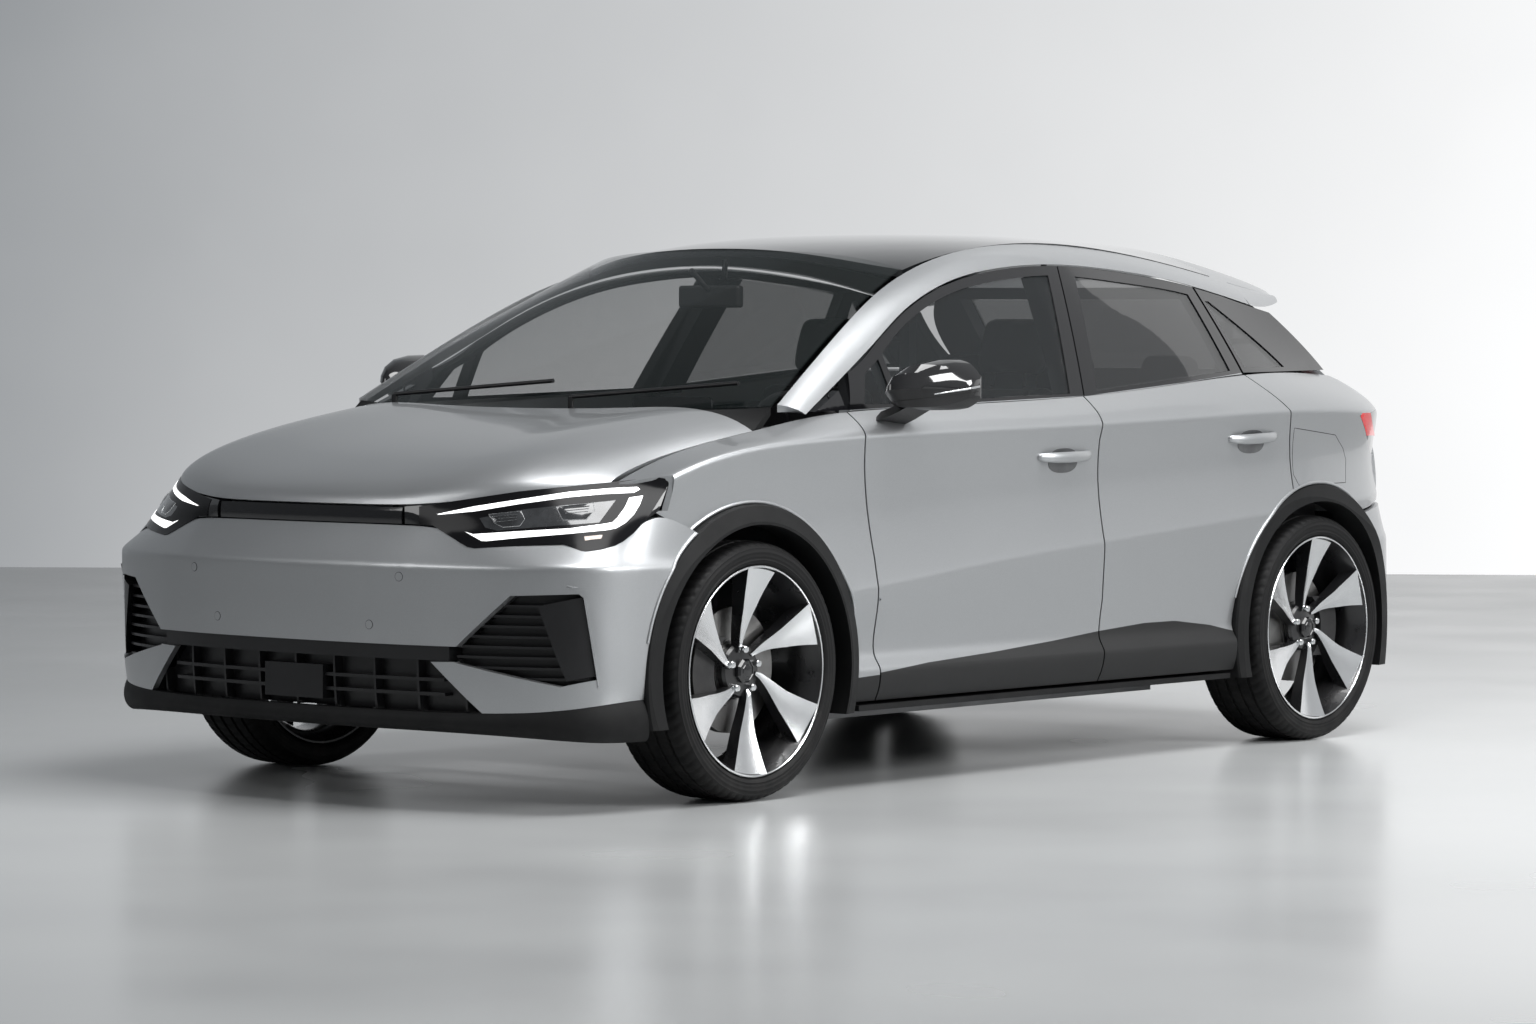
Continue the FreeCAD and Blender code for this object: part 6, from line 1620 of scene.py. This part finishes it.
def make_gate_details():
    """What lies on the tailgate: lamps, plate panel, grip and high brake lamp."""
    gate = skin("tailgate")

    def patch(name, outline, material, *sizes, **more):
        slab(name, outline, by_rear, gate, material, "tailgate", *sizes, **more)

    def strip(name, path, material, *sizes):
        ribbon(name, path, by_rear, gate, material, "tailgate", *sizes)

    patch("tailgate_lamps", GATE_LAMP, GLOSS_BLACK, 0.012, 0.0015, 0.002, sharp=30)
    strip("tailgate_light_bars", GATE_BAR, LAMP_RED, 0.014, 0.0032, 0.002, 0.01)
    patch("plate_panel", PLATE, CLADDING, 0.015, 0.0008, 0.002)
    strip("plate_panel_edge", PLATE[1:-1], SATIN, 0.005, 0.0030, 0.002, 0.02)
    strip("tailgate_grip", ((0.0, 0.935), (0.10, 0.934)), SATIN, 0.022, 0.0060, 0.002, 0.02)
    strip("high_brake_lamp", ((0.0, 1.452), (0.15, 1.450)), LAMP_RED, 0.010, 0.0020, 0.002, 0.02)


def make_tail():
    """Lamps, tailgate details, reflectors and sensors."""
    bumper = skin("rear_bumper")
    tree = smooth_skin(tail_frame(grown(TAIL_BLOCK, 1.1)), by_photo, skin("tail_lamps"), 2)
    slab("tail_light_blocks", tail_frame(TAIL_BLOCK), by_photo, tree, LAMP_RED, "body", 2, 0.0016, 0.002)
    make_gate_details()
    slab("rear_reflectors", REFLECTOR, by_rear, bumper, REFLECTOR_RED, "body", 0.012, 0.0015, 0.002)
    make_sensors("rear_sensor", ((0.26, 0.60), (0.62, 0.62)), by_rear, bumper)


make_tail()


# Charge flap


CHARGE_FLAP = ((2602, 973), (2857, 948), (2920, 905), (2943, 870), (2930, 798), (2639, 796), (2612, 830))


def make_charge_flap():
    """The flap's thin outline on both rear wings."""
    ribbon("charge_flap_gap", line_places(CHARGE_FLAP), by_side, SIDE_SKIN, SEAL, "body", 0.0022, 0.0003,
           0.002, closed=True)


make_charge_flap()


# Room, light and camera


def stage_plane(name, corners, material):
    """One face of the room."""
    mesh = bpy.data.meshes.new(name)
    mesh.from_pydata(corners, [], [(0, 1, 2, 3)])
    obj = bpy.data.objects.new(name, mesh)
    bpy.context.scene.collection.objects.link(obj)
    mesh.materials.append(material)


FLOOR_HALF = 40
WALL_DISTANCE = 26.0
WALL_HALF = 30
WALL_FOOT = -0.1
WALL_TOP = 14
# The wall's painted light: the shaded grey of its left and the lit white of its right.
WALL_SHADE = (0.26, 0.275, 0.29)
WALL_LIT = (0.98, 0.985, 0.99)
SKY_SIDE = (-0.62, 0.78, 0.05)
SKY_DIM = (0.26, 0.275, 0.29)
SKY_BRIGHT = (0.92, 0.94, 0.96)
SKY_STRENGTH = 0.52


def make_backdrop_material(side_way, middle):
    """Painted light on the wall: a glow shaded grey at the upper left and lit white at the right, for the eye
    and for what mirrors it.
    """
    mat, tree, bsdf = new_material("backdrop_painted_light", (0.05, 0.05, 0.05), 0.95, spec=0.1)
    place = put(tree, "TexCoord").outputs["Object"]
    across = put(tree, "VectorMath", operation="DOT_PRODUCT")
    across.inputs[1].default_value = side_way
    tree.links.new(place, across.inputs[0])
    split = put(tree, "SeparateXYZ")
    tree.links.new(place, split.inputs[0])
    offset = math_node(tree, "SUBTRACT", across.outputs["Value"], middle)
    slide = math_node(tree, "SUBTRACT", offset, math_node(tree, "MULTIPLY", split.outputs[2], 0.35))
    cloud = ranged(tree, noise_node(tree, 0.35, 4), 0.3, 0.7, -0.4, 0.4)
    factor = ranged(tree, math_node(tree, "ADD", slide, cloud), -5.5, 4.0, 0, 1)
    # Painted light: the glow runs from shade at the left to full light at the right, with soft clouds in it.
    shade = mixed(tree, factor, WALL_SHADE, WALL_LIT)
    tree.links.new(shade, bsdf.inputs["Emission Color"])
    path = put(tree, "LightPath")
    seen = math_node(tree, "MAXIMUM", path.outputs["Is Camera Ray"], path.outputs["Is Glossy Ray"])
    seen = math_node(tree, "MAXIMUM", seen, path.outputs["Is Transmission Ray"])
    tree.links.new(seen, bsdf.inputs["Emission Strength"])
    return mat


def make_room():
    """A pale polished floor and one wall behind the car."""
    floor = finish("polished_concrete", (0.56, 0.57, 0.575), 0.3, drift=(0.9, 0.06))
    tree = floor.node_tree
    bsdf = tree.nodes["Principled BSDF"]
    cloud = noise_node(tree, 0.45, 2, 0.5)
    tree.links.new(mixed(tree, cloud, (0.46, 0.47, 0.475), (0.56, 0.57, 0.57)), bsdf.inputs["Base Color"])
    gloss = ranged(tree, noise_node(tree, 0.9, 2, 0.5), 0.3, 0.7, 0.20, 0.28)
    tree.links.new(gloss, bsdf.inputs["Roughness"])
    half = FLOOR_HALF
    stage_plane("floor", [(-half, -half, 0), (half, -half, 0), (half, half, 0), (-half, half, 0)], floor)
    view = Vector((math.cos(YAW), math.sin(YAW), 0))
    side = Vector((view.y, -view.x, 0))
    foot = Vector((CAMERA_PLACE[0], CAMERA_PLACE[1], 0)) + view * WALL_DISTANCE
    left, right = foot - side * WALL_HALF, foot + side * WALL_HALF
    corners = [(left.x, left.y, WALL_FOOT), (right.x, right.y, WALL_FOOT), (right.x, right.y, WALL_TOP),
               (left.x, left.y, WALL_TOP)]
    stage_plane("backdrop", corners, make_backdrop_material(side, foot.dot(side)))


def make_camera():
    """The camera at the photograph's viewing angle."""
    data = bpy.data.cameras.new("camera")
    data.sensor_width = 36
    data.sensor_fit = "HORIZONTAL"
    data.lens = FOCAL / PHOTO_SIZE[0] * data.sensor_width
    data.clip_end = 200
    camera = bpy.data.objects.new("camera", data)
    turn = Matrix((RIGHT, UP, -FORWARD)).transposed()
    camera.matrix_world = Matrix.Translation(CAMERA_PLACE) @ turn.to_4x4()
    bpy.context.scene.collection.objects.link(camera)
    bpy.context.scene.camera = camera


def area_light(name, place, target, size_x, size_y, power):
    """A soft white panel that faces its target."""
    data = bpy.data.lights.new(name, "AREA")
    data.shape = "RECTANGLE"
    data.size, data.size_y = size_x, size_y
    data.energy = power
    light = bpy.data.objects.new(name, data)
    way = Vector(target) - Vector(place)
    light.matrix_world = Matrix.Translation(place) @ way.to_track_quat("-Z", "Y").to_matrix().to_4x4()
    bpy.context.scene.collection.objects.link(light)


def make_world():
    """Soft sky: bright on the car's left rear and grey on its right front."""
    world = bpy.data.worlds.new("world")
    bpy.context.scene.world = world
    world.use_nodes = True
    tree = world.node_tree
    place = put(tree, "TexCoord").outputs["Generated"]
    across = put(tree, "VectorMath", operation="DOT_PRODUCT")
    across.inputs[1].default_value = SKY_SIDE
    tree.links.new(place, across.inputs[0])
    factor = ranged(tree, across.outputs["Value"], -0.7, 0.9, 0, 1)
    shade = mixed(tree, factor, SKY_DIM, SKY_BRIGHT)
    background = tree.nodes["Background"]
    tree.links.new(shade, background.inputs[0])
    background.inputs[1].default_value = SKY_STRENGTH


def make_light():
    """The sky and three panels: overhead, far out on the left, and a weak one off the nose."""
    make_world()
    area_light("overhead", (0.4, 2.8, 6.5), (0, 0, 0), 6, 3, 430)
    area_light("left_key", (-2.2, 9.6, 4.8), (0, 0, 0.6), 4, 3, 600)
    area_light("front_fill", (8.5, -2.5, 4.5), (1.5, 0, 0.5), 4, 3, 110)


make_camera()
make_room()
make_light()
bpy.context.scene.view_settings.view_transform = "Standard"
